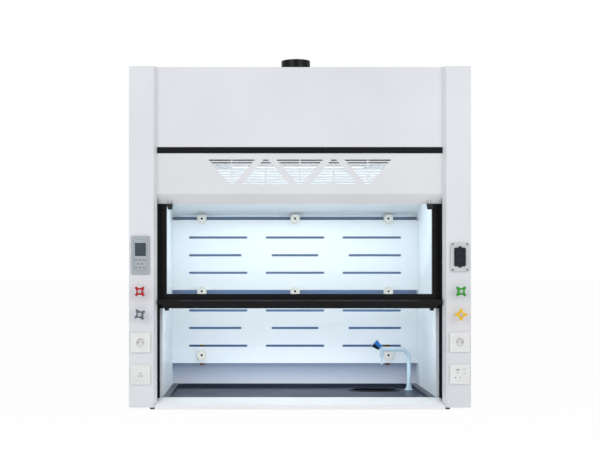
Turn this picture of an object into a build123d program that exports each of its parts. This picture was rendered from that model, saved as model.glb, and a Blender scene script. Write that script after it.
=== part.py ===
from build123d import *
import math
import os

# Benchtop fume hood. Millimetres, +Z up, +X to the user's right, the user stands at -Y.
# The origin is the centre of the base's underside.

os.makedirs("parts", exist_ok=True)

# Overall size of the cabinet
hood_width = 1500.0
hood_depth = 850.0
hood_height = 1505.0
skin = 2.0
seam = 0.3
running_clearance = 0.05

# Base frame
base_thickness = 8.0
base_inset = 92.0
base_rail_height = 16.0

# Front posts
post_width = 108.0
post_bevel_width = 13.0
post_bevel_depth = 26.0
post_return_depth = 35.0
post_side_depth = 60.0
roof_slot_end_gap = 5.0
roof_slot_side_gap = 6.0
left_fitting_inset = 51.0
right_fitting_inset = 50.0

# Header above the opening
header_setback = 25.0
header_flange_depth = 20.0
upper_panel_bottom = 1153.0
trim_height = 27.0
trim_thickness = 8.0
trim_stand_out = 1.0
trim_edge = 1.0
fold_radius = 3.0
opening_top = 905.0
lip_start = 948.0
lip_depth = 58.0
lip_bend_radius = 18.0

# Slots in the grille panel
grille_rows = 10
grille_top_row = 1095.0
grille_row_pitch = 11.36
grille_slot_height = 5.5
grille_rib = 5.5
grille_half_width = 100.0
grille_row_taper = 9.75
grille_pitch = 150.0
grille_triangles = 5
grille_plain_rows = 2

# Sill
sill_end_gap = 4.0
sill_bend_radii = (4.0, 3.0, 2.5)
sill_apron_height = 18.0
sill_top = 44.5
sill_slope_depth = 80.0
sill_back_depth = 84.7
sill_foot_gap = 0.5
sill_mitre_depth = 18.0

# Chamber
chamber_inset = 140.0
chamber_front = 97.0
chamber_back_gap = 79.0
liner_thickness = 6.0
rear_liner_thickness = 4.0
ceiling_height = 1085.0
ceiling_thickness = 4.0

# Worktop and cup sink
worktop_top = 44.0
worktop_rim = 29.0
dish_floor = 27.0
dish_fillet = 4.0
sink_inset = 227.0
sink_back_gap = 178.0
sink_length = 251.0
sink_width = 141.0
sink_flange = 16.0
sink_flange_thickness = 3.0
sink_wall = 2.5
sink_bottom = 1.0
sink_cut_gap = 0.5

# Baffles and their knobs
baffle_gap = 71.0
baffle_thickness = 4.0
lower_baffle_bottom = 151.0
lower_baffle_top = 484.0
middle_baffle_bottom = 514.0
middle_baffle_top = 861.0
upper_baffle_bottom = 878.0
upper_baffle_flange = 12.0
upper_baffle_setback = 25.0
upper_baffle_knee_run = 295.0
upper_baffle_knee_height = 988.0
upper_baffle_top_run = 100.0
slot_height = 11.0
slot_inner_x = 236.0
slot_end_inset = 83.5
short_slot_inner_x = 265.5
centre_slot_half = 145.5
short_centre_slot_half = 116.5
middle_slot_heights = (774.0, 686.0, 599.0)
lower_slot_heights = (412.0, 325.0, 237.0)
knob_inset = 148.0
knob_diameter = 48.0
knob_thickness = 20.0
knob_hole = 12.0
knob_hole_depth = 10.0
knob_stem = 10.0
bottom_knob_rise = 40.0
middle_knob_rise = 23.0
top_knob_rise = 6.0
scallop_count = 8
scallop_radius = 5.0
bracket_width = 21.0
bracket_sheet = 2.0
bottom_bracket_reach = 50.0
middle_bracket_drop = 34.0
middle_bracket_reach = 18.0
top_bracket_drop = 26.0
top_bracket_reach = 9.0

# Access covers in the chamber sides
cover_front = 184.0
cover_back = 497.0
cover_bottom = 304.0
cover_top = 729.0
cover_corner = 40.0
cover_thickness = 3.0

# Sash
sash_front = 66.0
sash_thickness = 25.0
sash_side_gap = 2.0
sash_stile_width = 37.0
sash_bottom = 441.0
sash_height = 885.0
bottom_rail_height = 64.0
top_rail_height = 40.0
rail_wall = 2.5
glass_thickness = 6.0
groove_clearance = 0.3
groove_depth = 8.0
handle_top = 481.0
handle_front = 12.0
handle_wall = 5.0
handle_lip_height = 21.0
handle_grip_depth = 20.0
handle_end_inset = 18.0
handle_end_reach = 0.5
handle_edge = 4.0
handle_drop = 13.0
handle_chamfer = 8.0
cable_tab_end = 6.0
cable_tab_height = 20.0
cable_tab_thickness = 8.0
cable_tab_rise = 14.0
rail_cap_thickness = 3.0
rail_cap_margin = 6.0
sash_bumper_inset = 37.0
sash_bumper_length = 10.5
sash_bumper_top_radius = 10.0
sash_bumper_bottom_radius = 9.0

# Sash guides and the stops under the header
guide_lip_reach = 11.5
guide_back_lip_reach = 10.0
guide_wall = 3.0
guide_front_lip_depth = 35.0
guide_back_lip_depth = 61.0
guide_leg_front = 28.0
guide_bottom = 46.0
guide_top_gap = 10.0
guide_front_lip_gap = 3.0
stop_inset = 55.0
stop_depth_back = 43.0
stop_bottom = 879.0
stop_bottom_radius = 10.0
stop_top_radius = 13.5

# Counterbalance: cables, pulleys and counterweights
cable_inset = 98.0
cable_radius = 1.5
pulley_pitch_radius = 25.0
pulley_rim = 3.0
pulley_width = 10.0
pulley_drop = 65.0
pulley_bore_radius = 4.0
groove_radius = 1.8
lightening_holes = 5
lightening_radius = 4.0
lightening_circle = 14.0
rear_cable_gap = 150.0
bracket_cheek = 2.5
bracket_side_gap = 1.0
bracket_half_depth = 18.0
bracket_drop = 15.0
axle_head_radius = 6.0
axle_head = 2.0
weight_width = 52.0
weight_depth = 60.0
weight_corner = 4.0
weight_bottom = 450.0
weight_stud_radius = 4.0
weight_stud_length = 12.0
aluminium_density = 2.7e-6
glass_density = 2.5e-6
iron_density = 7.2e-6

# Exhaust and lamp
collar_back_gap = 275.0
collar_radius = 69.5
collar_wall = 3.0
collar_rise = 121.0
collar_flange_radius = 85.0
collar_flange = 3.0
collar_neck_step = 1.0
collar_roof_gap = 0.5
lamp_length = 600.0
lamp_width = 100.0
lamp_depth_back = 250.0
lamp_lip = 8.0
lamp_shell_margin = 20.0
lamp_shell_height = 60.0
lamp_lens_drop = 1.0
lamp_lens_flange = 3.0

# Controller on the left post
controller_z = 676.0
controller_width = 81.0
controller_corner = 6.0
controller_edge = 2.0
controller_panel_corner = 4.0
screen_corner = 2.0
controller_height = 169.0
controller_thickness = 8.0
controller_panel_width = 60.0
controller_panel_height = 140.0
controller_panel_raise = 1.5
screen_width = 48.0
screen_height = 58.0
screen_rise = 25.0
screen_recess = 1.5
key_raise = 0.8
key_pitch = 17.0
key_length = 11.0
key_width = 7.0
key_row_drops = (20.0, 37.0, 54.0)
key_row_counts = (3, 2, 3)
controller_box_width = 66.0
controller_box_height = 150.0
controller_box_depth = 35.0

# Breaker on the right post
breaker_z = 668.0
breaker_width = 82.0
breaker_height = 129.0
breaker_thickness = 9.0
breaker_corner = 8.0
breaker_edge = 2.0
breaker_window_width = 45.0
breaker_window_height = 74.0
breaker_floor_depth = 6.0
breaker_box_width = 60.0
breaker_box_height = 100.0
breaker_box_depth = 40.0
screw_spacing_x = 63.0
screw_spacing_z = 112.0
screw_head_radius = 3.5
screw_head = 2.0
screw_shank_radius = 2.0
screw_shank = 8.0
flap_width = 51.0
flap_height = 82.0
flap_thickness = 2.5
flap_front_gap = 1.0
flap_tab = 13.0
flap_barrel_radius = 2.2
flap_pin_radius = 1.5
flap_barrel_rise = 4.0
flap_ear = 3.0
flap_ear_wall = 1.0
flap_ear_root = 1.0
flap_corner = 6.0
flap_pull_corner = 2.0
flap_overlap = 1.0
flap_pull_width = 16.0
flap_pull_drop = 5.0
toggle_axis_depth = 1.0
toggle_barrel_radius = 4.5
toggle_pin_radius = 2.0
toggle_pin = 3.0
toggle_reach = 6.0
toggle_width = 14.0
toggle_spacing = 20.0
toggle_thickness = 4.0
toggle_tilt = 30.0

# Service valves and their knobs
valve_hole_radius = 12.0
valve_body = 40.0
valve_corner = 5.0
valve_body_length = 46.0
valve_neck_radius = 11.5
spindle_radius = 4.0
spindle_reach = 36.0
escutcheon_radius = 26.0
escutcheon_thickness = 3.0
escutcheon_taper = 12.0
lobe_count = 4
lobe_tip_radius = 26.5
lobe_cut_reach = 33.0
lobe_cut_radius = 18.0
lobe_thickness = 16.0
lobe_back = 30.0
lobe_edge = 2.5
knob_hub_radius = 11.0
knob_hub_back = 4.0
knob_cap_radius = 8.0
knob_cap = 1.5
knob_bore_extra = 1.0
upper_knob_z = 518.0
lower_knob_z = 417.0
red_knob_turn = 45.0
grey_knob_turn = 35.0
green_knob_turn = 45.0
yellow_knob_turn = 0.0

# Socket plates
plate_size = 86.0
plate_thickness = 9.0
plate_corner = 3.0
insert_size = 53.0
insert_raise = 0.6
recess_radius = 19.0
recess_depth = 14.0
pin_hole_radius = 2.5
pin_spacing = 19.0
pin_hole_depth = 3.0
socket_box_radius = 24.0
socket_box_depth = 30.0
left_pins = ((0.0, 6.0), (-6.5, -5.0), (6.5, -5.0))
right_pins = ((-10.0, 7.0), (-19.5, -13.5), (1.5, -13.5))
flat_pin_place = (-9.0, 20.0)
flat_pin_width = 13.5
flat_pin_height = 4.0
left_round_z = 293.0
right_round_z = 295.0
left_pin_z = 152.0
right_pin_z = 154.0
rocker_width = 12.0
rocker_height = 22.0
rocker_x_offset = 20.0
rocker_z_offset = 13.0
rocker_tilt = 6.0
rocker_gap = 0.4
rocker_swing_gap = 1.2
rocker_pin_radius = 1.2
rocker_pin = 2.0
rocker_floor = 1.0

# Water tap
tap_inset = 57.0
tap_back_offset = 6.0
tap_flange_radius = 23.5
tap_flange = 6.0
tap_flange_taper = 20.0
tap_column_radius = 11.5
tap_column_top = 58.0
tap_pipe_radius = 9.3
tap_pipe_height = 224.0
tap_bend_radius = 40.0
tap_reach = 132.0
tap_head_radius = 10.5
tap_head_rise = 8.0
tap_head_drop = 15.0
tap_nozzle_radius = 5.5
tap_nozzle_bottom = 153.0
tap_nozzle_barbs = 4
tap_barb_step = 9.0
tap_barb_rise = 1.2
tap_barb_share = 0.7
tap_knob_tilt = 49.5
tap_neck_step = 1.0
tap_stem_radius = 4.0
tap_stem_reach = 30.0
tap_knob_offset = 14.0
tap_knob_small = 13.5
tap_knob_large = 22.0
tap_knob_length = 35.0
tap_knob_flutes = 6
tap_flute_radius = 3.0
tap_flute_share = 0.6
tap_bore_extra = 1.0

# Places worked out from the sizes above
side_x = hood_width / 2
side_inner_x = side_x - skin
front_y = -hood_depth / 2
wall_height = hood_height - skin
post_inner_x = side_x - post_width
return_x = post_inner_x - post_bevel_width
left_fitting_x = -(side_x - left_fitting_inset)
right_fitting_x = side_x - right_fitting_inset
base_width = 2 * (side_x - base_inset)
sill_half_width = post_inner_x - sill_end_gap
chamber_x = side_x - chamber_inset
chamber_width = 2 * chamber_x
chamber_back = hood_depth - chamber_back_gap
liner_flange_x = return_x + skin
liner_outer_x = chamber_x + liner_thickness
rear_liner_back = chamber_back + rear_liner_thickness
grille_panel_top = upper_panel_bottom - trim_height
sink_x = chamber_x - sink_inset
sink_depth_back = chamber_back - sink_back_gap
baffle_plane = chamber_back - baffle_gap
slot_outer_x = chamber_x - slot_end_inset
knob_pitch = chamber_x - knob_inset
bottom_knob_height = lower_baffle_bottom + bottom_knob_rise
middle_knob_height = lower_baffle_top + middle_knob_rise
top_knob_height = middle_baffle_top + top_knob_rise
sash_half_width = return_x - sash_side_gap
handle_web_half_width = sash_half_width - handle_end_inset
sash_bumper_x = sash_half_width - sash_bumper_inset
guide_lip_inner_x = return_x - guide_lip_reach
guide_back_lip_inner_x = return_x - guide_back_lip_reach
guide_top = hood_height - guide_top_gap
stop_x = return_x - stop_inset
cable_x = side_x - cable_inset
cable_tab_x = cable_x + cable_tab_end
pulley_height = hood_height - pulley_drop
rear_cable_depth = hood_depth - rear_cable_gap
collar_depth_back = hood_depth - collar_back_gap
collar_neck_radius = collar_radius - collar_neck_step
tap_x = chamber_x - tap_inset
tap_head_x = tap_x - tap_reach
tap_depth_back = sink_depth_back + tap_back_offset
rail_top = sash_bottom + bottom_rail_height
sash_top = sash_bottom + sash_height
stile_top = sash_top - top_rail_height
stile_inner_x = sash_half_width - sash_stile_width
bowl_length = sink_length - 2 * sink_flange
bowl_width = sink_width - 2 * sink_flange
sash_middle = sash_front + sash_thickness / 2
glass_half_width = stile_inner_x + groove_depth - groove_clearance
groove_width = glass_thickness + 2 * groove_clearance
tab_top = sash_bottom + cable_tab_rise + cable_tab_height
front_pulley_depth = sash_middle + pulley_pitch_radius
rear_pulley_depth = rear_cable_depth - pulley_pitch_radius
bracket_plane = baffle_plane + baffle_thickness
collar_top = hood_height + collar_rise


def depth(back):
    """World Y of a point that lies this far behind the front face."""
    return front_y + back


def facing(back):
    """Plane parallel to the front and this far behind it, looking out at the user."""
    return Plane.XZ.offset(hood_depth / 2 - back)


def side_points(points):
    """Points given as (depth behind the front, height), ready for a sketch on Plane.YZ."""
    return [(depth(back), height) for back, height in points]


def save(piece, name):
    """Label a finished piece and write it as the node of that name."""
    piece.part.label = name
    export_step(piece.part, f"parts/{name}.step")


# Base frame: a steel plate with a rail along each side that the side panels stand against
with BuildPart() as base_frame:
    with BuildSketch(Plane.XY):
        with Locations((0, depth(hood_depth / 2))):
            Rectangle(base_width, hood_depth - 2 * skin)
    extrude(amount=base_thickness)
    with BuildSketch(Plane.XY.offset(base_thickness)):
        rail_length = hood_depth - skin - post_side_depth
        rail_width = side_inner_x - liner_flange_x - seam
        for hand in (-1, 1):
            with Locations((hand * (side_inner_x - rail_width / 2), depth(post_side_depth + rail_length / 2))):
                Rectangle(rail_width, rail_length)
    extrude(amount=base_rail_height)
    with BuildSketch(Plane.XY.offset(base_thickness)):
        with Locations((sink_x, depth(sink_depth_back))):
            SlotOverall(bowl_length + 2 * sink_cut_gap, bowl_width + 2 * sink_cut_gap)
    extrude(amount=-base_thickness, mode=Mode.SUBTRACT)
save(base_frame, "base_frame")

# Side panels and the back: plain folded sheet
for side_name, hand in (("left", -1), ("right", 1)):
    with BuildPart() as side_panel:
        with BuildSketch(Plane.XY.offset(base_thickness)):
            with Locations((hand * (side_x - skin / 2), depth((post_side_depth + hood_depth) / 2))):
                Rectangle(skin, hood_depth - post_side_depth)
        extrude(amount=wall_height - base_thickness)
    save(side_panel, f"side_panel_{side_name}")

with BuildPart() as back_panel:
    with BuildSketch(Plane.XY.offset(base_thickness)):
        with Locations((0, depth(hood_depth - skin / 2))):
            Rectangle(2 * side_inner_x, skin)
    extrude(amount=wall_height - base_thickness)
save(back_panel, "back_panel")

# Roof: one sheet over posts, header and sides, with the slot that the raised sash passes
with BuildPart() as roof_panel:
    with BuildSketch(Plane.XY.offset(wall_height)):
        with BuildLine():
            Polyline(
                (side_x, depth(0)),
                (post_inner_x, depth(0)),
                (return_x, depth(header_setback)),
                (-return_x, depth(header_setback)),
                (-post_inner_x, depth(0)),
                (-side_x, depth(0)),
                (-side_x, depth(hood_depth)),
                (side_x, depth(hood_depth)),
                close=True,
            )
        make_face()
        with Locations((0, depth(sash_middle))):
            Rectangle(
                2 * (sash_half_width + roof_slot_end_gap),
                sash_thickness + 2 * roof_slot_side_gap,
                mode=Mode.SUBTRACT,
            )
        with Locations((0, depth(collar_depth_back))):
            Circle(collar_neck_radius + collar_roof_gap, mode=Mode.SUBTRACT)
    extrude(amount=skin)
save(roof_panel, "roof_panel")

# Posts: one folded sheet each, front face, bevel and return, cut out for the fittings
post_fittings = {
    "left": [
        ("box", left_fitting_x, controller_z, controller_box_width, controller_box_height),
        ("hole", left_fitting_x, upper_knob_z, valve_hole_radius, 0),
        ("hole", left_fitting_x, lower_knob_z, valve_hole_radius, 0),
        ("hole", left_fitting_x, left_round_z, socket_box_radius + seam, 0),
        ("hole", left_fitting_x, left_pin_z, socket_box_radius + seam, 0),
    ],
    "right": [
        ("box", right_fitting_x, breaker_z, breaker_box_width, breaker_box_height),
        ("hole", right_fitting_x, upper_knob_z, valve_hole_radius, 0),
        ("hole", right_fitting_x, lower_knob_z, valve_hole_radius, 0),
        ("hole", right_fitting_x, right_round_z, socket_box_radius + seam, 0),
        ("hole", right_fitting_x, right_pin_z, socket_box_radius + seam, 0),
    ],
}
for side_name, hand in (("left", -1), ("right", 1)):
    with BuildPart() as post:
        with BuildSketch(Plane.XY.offset(base_thickness)):
            with BuildLine():
                Polyline(
                    (hand * side_x, depth(post_side_depth)),
                    (hand * side_x, depth(0)),
                    (hand * post_inner_x, depth(0)),
                    (hand * return_x, depth(post_bevel_depth)),
                    (hand * return_x, depth(post_return_depth)),
                )
                offset(amount=skin, side=Side.LEFT if hand < 0 else Side.RIGHT, kind=Kind.INTERSECTION)
            make_face()
        extrude(amount=wall_height - base_thickness)
        with BuildSketch(facing(0)):
            for form, x, z, size, tall in post_fittings[side_name]:
                with Locations((x, z)):
                    if form == "box":
                        Rectangle(size + 2 * seam, tall + 2 * seam)
                    else:
                        Circle(size)
        extrude(amount=-2 * skin, mode=Mode.SUBTRACT)
    save(post, f"post_{side_name}")

# Upper front panel: a shallow pan, flanged back at the top and at the bottom
with BuildPart() as upper_front_panel:
    with BuildSketch(Plane.YZ):
        with BuildLine():
            Polyline(
                *side_points(
                    [
                        (header_setback + header_flange_depth, wall_height),
                        (header_setback, wall_height),
                        (header_setback, upper_panel_bottom),
                        (header_setback + header_flange_depth, upper_panel_bottom),
                    ]
                )
            )
            offset(amount=skin, side=Side.LEFT, kind=Kind.INTERSECTION)
        make_face()
    extrude(amount=return_x, both=True)
save(upper_front_panel, "upper_front_panel")

# Trim strip: black extrusion between the two panels
with BuildPart() as trim_strip:
    with BuildSketch(Plane.YZ):
        trim_back = header_setback + trim_thickness - trim_stand_out
        with Locations((depth(trim_back - trim_thickness / 2), grille_panel_top + trim_height / 2)):
            RectangleRounded(trim_thickness, trim_height, trim_edge)
    extrude(amount=return_x, both=True)
save(trim_strip, "trim_strip")

# Grille panel: folded sheet with five triangles of slots, its lower edge turned back as a lip
with BuildPart() as grille_panel:
    with BuildSketch(Plane.YZ):
        with BuildLine():
            FilletPolyline(
                *side_points(
                    [
                        (header_setback + header_flange_depth, grille_panel_top),
                        (header_setback, grille_panel_top),
                        (header_setback, lip_start),
                        (lip_depth, opening_top),
                    ]
                ),
                radius=(fold_radius, lip_bend_radius),
            )
            offset(amount=skin, side=Side.LEFT, kind=Kind.INTERSECTION)
        make_face()
    extrude(amount=return_x, both=True)
    with BuildSketch(facing(header_setback)):
        for triangle in range(grille_triangles):
            centre = (triangle - (grille_triangles - 1) / 2) * grille_pitch
            points_down = triangle % 2 == 0
            for row in range(grille_rows):
                step = row if points_down else grille_rows - 1 - row
                half = grille_half_width - grille_row_taper * step
                z = grille_top_row - grille_row_pitch * row
                if step < grille_rows - grille_plain_rows:
                    length = half - grille_rib / 2
                    with Locations(
                        (centre - half + length / 2, z),
                        (centre + half - length / 2, z),
                    ):
                        Rectangle(length, grille_slot_height)
                else:
                    with Locations((centre, z)):
                        Rectangle(2 * half, grille_slot_height)
    extrude(amount=-2 * skin, mode=Mode.SUBTRACT)
save(grille_panel, "grille_panel")

# Sill: folded sheet, apron, sloping top and a back leg down to the base, mitred along the posts
with BuildPart() as sill:
    with BuildSketch(Plane.YZ):
        with BuildLine():
            FilletPolyline(
                *side_points(
                    [
                        (0, sill_foot_gap),
                        (0, sill_apron_height),
                        (sill_slope_depth, sill_top),
                        (sill_back_depth, sill_top),
                        (sill_back_depth, base_thickness),
                    ]
                ),
                radius=sill_bend_radii,
            )
            offset(amount=skin, side=Side.RIGHT, kind=Kind.INTERSECTION)
        make_face()
    extrude(amount=sill_half_width, both=True)
    with BuildSketch(Plane.XY):
        with BuildLine():
            Polyline(
                (sill_half_width, depth(0)),
                (return_x - seam, depth(sill_mitre_depth)),
                (return_x - seam, depth(sill_back_depth)),
                (-return_x + seam, depth(sill_back_depth)),
                (-return_x + seam, depth(sill_mitre_depth)),
                (-sill_half_width, depth(0)),
                close=True,
            )
        make_face()
    extrude(amount=sill_top, mode=Mode.INTERSECT)
save(sill, "sill")

# Worktop: cast resin slab, dished inside a raised rim, with the cut-out for the cup sink
with BuildPart() as worktop:
    slab_front = sill_back_depth + seam
    with BuildSketch(Plane.XY.offset(base_thickness)):
        with Locations((0, depth((slab_front + chamber_back) / 2))):
            Rectangle(chamber_width, chamber_back - slab_front)
    extrude(amount=worktop_top - base_thickness)
    with BuildSketch(Plane.XY.offset(worktop_top)):
        with Locations((0, depth((slab_front + chamber_back) / 2))):
            RectangleRounded(
                chamber_width - 2 * worktop_rim,
                chamber_back - slab_front - 2 * worktop_rim,
                2 * dish_fillet,
            )
    extrude(amount=dish_floor - worktop_top, mode=Mode.SUBTRACT)
    dish_edges = worktop.edges().filter_by_position(Axis.Z, dish_floor - seam, dish_floor + seam)
    fillet(dish_edges, dish_fillet)
    with BuildSketch(Plane.XY.offset(dish_floor)):
        with Locations((sink_x, depth(sink_depth_back))):
            SlotOverall(bowl_length + 2 * sink_cut_gap, bowl_width + 2 * sink_cut_gap)
    extrude(amount=base_thickness - dish_floor, mode=Mode.SUBTRACT)
save(worktop, "worktop")

# Cup sink: oval moulded bowl hung by its flange in the worktop
with BuildPart() as cup_sink:
    with BuildSketch(Plane.XY.offset(dish_floor)):
        with Locations((sink_x, depth(sink_depth_back))):
            SlotOverall(sink_length, sink_width)
    extrude(amount=sink_flange_thickness)
    with BuildSketch(Plane.XY.offset(dish_floor)):
        with Locations((sink_x, depth(sink_depth_back))):
            SlotOverall(bowl_length, bowl_width)
    extrude(amount=sink_bottom - dish_floor)
    with BuildSketch(Plane.XY.offset(dish_floor + sink_flange_thickness)):
        with Locations((sink_x, depth(sink_depth_back))):
            SlotOverall(bowl_length - 2 * sink_wall, bowl_width - 2 * sink_wall)
    extrude(amount=sink_bottom + sink_wall - dish_floor - sink_flange_thickness, mode=Mode.SUBTRACT)
save(cup_sink, "cup_sink")

# Chamber liners: side sheets with a flange turned outwards at the front, and the rear sheet
for side_name, hand in (("left", -1), ("right", 1)):
    with BuildPart() as inner_liner:
        with BuildSketch(Plane.XY.offset(base_thickness)):
            with BuildLine():
                Polyline(
                    (hand * chamber_x, depth(rear_liner_back)),
                    (hand * chamber_x, depth(chamber_front)),
                    (hand * liner_flange_x, depth(chamber_front)),
                    (hand * liner_flange_x, depth(chamber_front + liner_thickness)),
                    (hand * liner_outer_x, depth(chamber_front + liner_thickness)),
                    (hand * liner_outer_x, depth(rear_liner_back)),
                    close=True,
                )
            make_face()
        extrude(amount=ceiling_height - base_thickness)
    save(inner_liner, f"inner_liner_{side_name}")

with BuildPart() as rear_liner:
    with BuildSketch(Plane.XY.offset(base_thickness)):
        with Locations((0, depth(chamber_back + rear_liner_thickness / 2))):
            Rectangle(chamber_width, rear_liner_thickness)
    extrude(amount=ceiling_height - base_thickness)
save(rear_liner, "rear_liner")

# Ceiling: sheet on top of the liners, cut out for the lamp and the exhaust
with BuildPart() as ceiling_liner:
    with BuildSketch(Plane.XY.offset(ceiling_height)):
        with Locations((0, depth((chamber_front + rear_liner_back) / 2))):
            Rectangle(2 * liner_outer_x, rear_liner_back - chamber_front)
        with Locations((0, depth(lamp_depth_back))):
            Rectangle(lamp_length, lamp_width, mode=Mode.SUBTRACT)
        with Locations((0, depth(collar_depth_back))):
            Circle(collar_neck_radius + seam, mode=Mode.SUBTRACT)
    extrude(amount=ceiling_thickness)
save(ceiling_liner, "ceiling_liner")

# Access covers: flat plates with round corners, screwed to the inside of the side liners
with BuildPart() as access_covers:
    cover_centre = (depth((cover_front + cover_back) / 2), (cover_bottom + cover_top) / 2)
    for hand in (-1, 1):
        with BuildSketch(Plane.YZ.offset(hand * chamber_x)):
            with Locations(cover_centre):
                RectangleRounded(cover_back - cover_front, cover_top - cover_bottom, cover_corner)
        extrude(amount=-hand * cover_thickness)
save(access_covers, "access_covers")

# Lower and middle baffles: flat sheets with three rows of round-ended slots
baffle_half_width = chamber_x - seam
for baffle_name, bottom, top, rows in (
    ("lower_baffle", lower_baffle_bottom, lower_baffle_top, lower_slot_heights),
    ("middle_baffle", middle_baffle_bottom, middle_baffle_top, middle_slot_heights),
):
    with BuildPart() as baffle:
        with BuildSketch(facing(baffle_plane)):
            with Locations((0, (bottom + top) / 2)):
                Rectangle(2 * baffle_half_width, top - bottom)
            for row, z in enumerate(rows):
                short = row == 1
                inner = short_slot_inner_x if short else slot_inner_x
                half = short_centre_slot_half if short else centre_slot_half
                with Locations((0, z)):
                    SlotOverall(2 * half, slot_height, mode=Mode.SUBTRACT)
                with Locations(((inner + slot_outer_x) / 2, z), (-(inner + slot_outer_x) / 2, z)):
                    SlotOverall(slot_outer_x - inner, slot_height, mode=Mode.SUBTRACT)
            if baffle_name == "lower_baffle":
                with Locations((-knob_pitch, bottom_knob_height), (knob_pitch, bottom_knob_height)):
                    Circle(knob_stem / 2 + seam, mode=Mode.SUBTRACT)
        extrude(amount=-baffle_thickness)
    save(baffle, baffle_name)

# Upper baffle: bent sheet rising from the back wall to the front of the ceiling
with BuildPart() as upper_baffle:
    flange_depth = baffle_plane + upper_baffle_setback
    knee_depth = flange_depth - upper_baffle_knee_run
    with BuildSketch(Plane.YZ):
        with BuildLine():
            Polyline(
                *side_points(
                    [
                        (flange_depth, upper_baffle_bottom),
                        (flange_depth, upper_baffle_bottom + upper_baffle_flange),
                        (knee_depth, upper_baffle_knee_height),
                        (knee_depth - upper_baffle_top_run, ceiling_height - 2 * seam),
                    ]
                )
            )
            offset(amount=baffle_thickness, side=Side.RIGHT, kind=Kind.INTERSECTION)
        make_face()
    extrude(amount=baffle_half_width, both=True)
    with BuildSketch(Plane.XY.offset(ceiling_height)):
        with Locations((0, depth(knee_depth - upper_baffle_top_run))):
            Rectangle(chamber_width, 4 * chamber_front)
    extrude(amount=chamber_front, mode=Mode.SUBTRACT)
save(upper_baffle, "upper_baffle")

# Baffle brackets: channels that stand off the rear liner and take the knob stems
bracket_spans = (
    (bottom_knob_height, bottom_bracket_reach, bottom_bracket_reach, (-1, 1)),
    (middle_knob_height, middle_bracket_drop, middle_bracket_reach, (-1, 0, 1)),
    (top_knob_height, top_bracket_drop, top_bracket_reach, (-1, 0, 1)),
)
with BuildPart() as baffle_brackets:
    for knob_z, drop, reach, places in bracket_spans:
        for place in places:
            x = place * knob_pitch
            with BuildSketch(Plane.XY.offset(knob_z - drop)):
                with BuildLine():
                    Polyline(
                        (x - bracket_width / 2, depth(chamber_back)),
                        (x - bracket_width / 2, depth(bracket_plane)),
                        (x + bracket_width / 2, depth(bracket_plane)),
                        (x + bracket_width / 2, depth(chamber_back)),
                    )
                    offset(amount=bracket_sheet, side=Side.LEFT, kind=Kind.INTERSECTION)
                make_face()
            extrude(amount=drop + reach)
            with BuildSketch(facing(bracket_plane)):
                with Locations((x, knob_z)):
                    Circle(knob_stem / 2 + running_clearance)
            extrude(amount=-2 * bracket_sheet, mode=Mode.SUBTRACT)
save(baffle_brackets, "baffle_brackets")

# Baffle knobs: moulded star knobs with a threaded stem, clamping the baffles to the brackets
with BuildPart() as baffle_knobs:
    for knob_z, drop, reach, places in bracket_spans:
        for place in places:
            centre = (place * knob_pitch, knob_z)
            with BuildSketch(facing(baffle_plane)):
                with Locations(centre):
                    Circle(knob_diameter / 2)
                    with PolarLocations(knob_diameter / 2 + scallop_radius / 2, scallop_count):
                        Circle(scallop_radius, mode=Mode.SUBTRACT)
            extrude(amount=knob_thickness)
            with BuildSketch(facing(baffle_plane)):
                with Locations(centre):
                    Circle(knob_stem / 2)
            extrude(amount=-(baffle_thickness + 2 * bracket_sheet))
            with BuildSketch(facing(baffle_plane - knob_thickness)):
                with Locations(centre):
                    Circle(knob_hole / 2)
            extrude(amount=-knob_hole_depth, mode=Mode.SUBTRACT)
save(baffle_knobs, "baffle_knobs")

# Sash guides: black extrusion behind each post, one lip in view and one that the sash runs on
with BuildPart() as sash_guides:
    for hand in (-1, 1):
        with BuildSketch(Plane.XY.offset(guide_bottom)):
            with BuildLine():
                Polyline(
                    (hand * (return_x + skin), depth(guide_leg_front)),
                    (hand * (return_x + skin), depth(guide_back_lip_depth)),
                    (hand * guide_back_lip_inner_x, depth(guide_back_lip_depth)),
                    (hand * guide_back_lip_inner_x, depth(guide_back_lip_depth + guide_wall)),
                    (hand * (return_x + skin + guide_wall), depth(guide_back_lip_depth + guide_wall)),
                    (hand * (return_x + skin + guide_wall), depth(guide_leg_front)),
                    close=True,
                )
            make_face()
        extrude(amount=guide_top - guide_bottom)
        lip_width = return_x + skin - guide_lip_inner_x
        with BuildSketch(Plane.XY.offset(guide_bottom)):
            with Locations(
                (hand * (guide_lip_inner_x + lip_width / 2), depth(guide_front_lip_depth + guide_wall / 2))
            ):
                Rectangle(lip_width, guide_wall)
        extrude(amount=opening_top - guide_front_lip_gap - guide_bottom)
save(sash_guides, "sash_guides")

# Sash stiles: hollow black extrusions with a groove for the glass
for side_name, hand in (("left", -1), ("right", 1)):
    with BuildPart() as sash_stile:
        with BuildSketch(Plane.XY.offset(rail_top)):
            with Locations((hand * (sash_half_width - sash_stile_width / 2), depth(sash_middle))):
                Rectangle(sash_stile_width, sash_thickness)
            with Locations((hand * (stile_inner_x + groove_depth / 2), depth(sash_middle))):
                Rectangle(groove_depth, groove_width, mode=Mode.SUBTRACT)
            core_inner = stile_inner_x + groove_depth + rail_wall
            core_outer = sash_half_width - rail_wall
            with Locations((hand * (core_inner + core_outer) / 2, depth(sash_middle))):
                Rectangle(core_outer - core_inner, sash_thickness - 2 * rail_wall, mode=Mode.SUBTRACT)
        extrude(amount=stile_top - rail_top)
    save(sash_stile, f"sash_stile_{side_name}")

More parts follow.
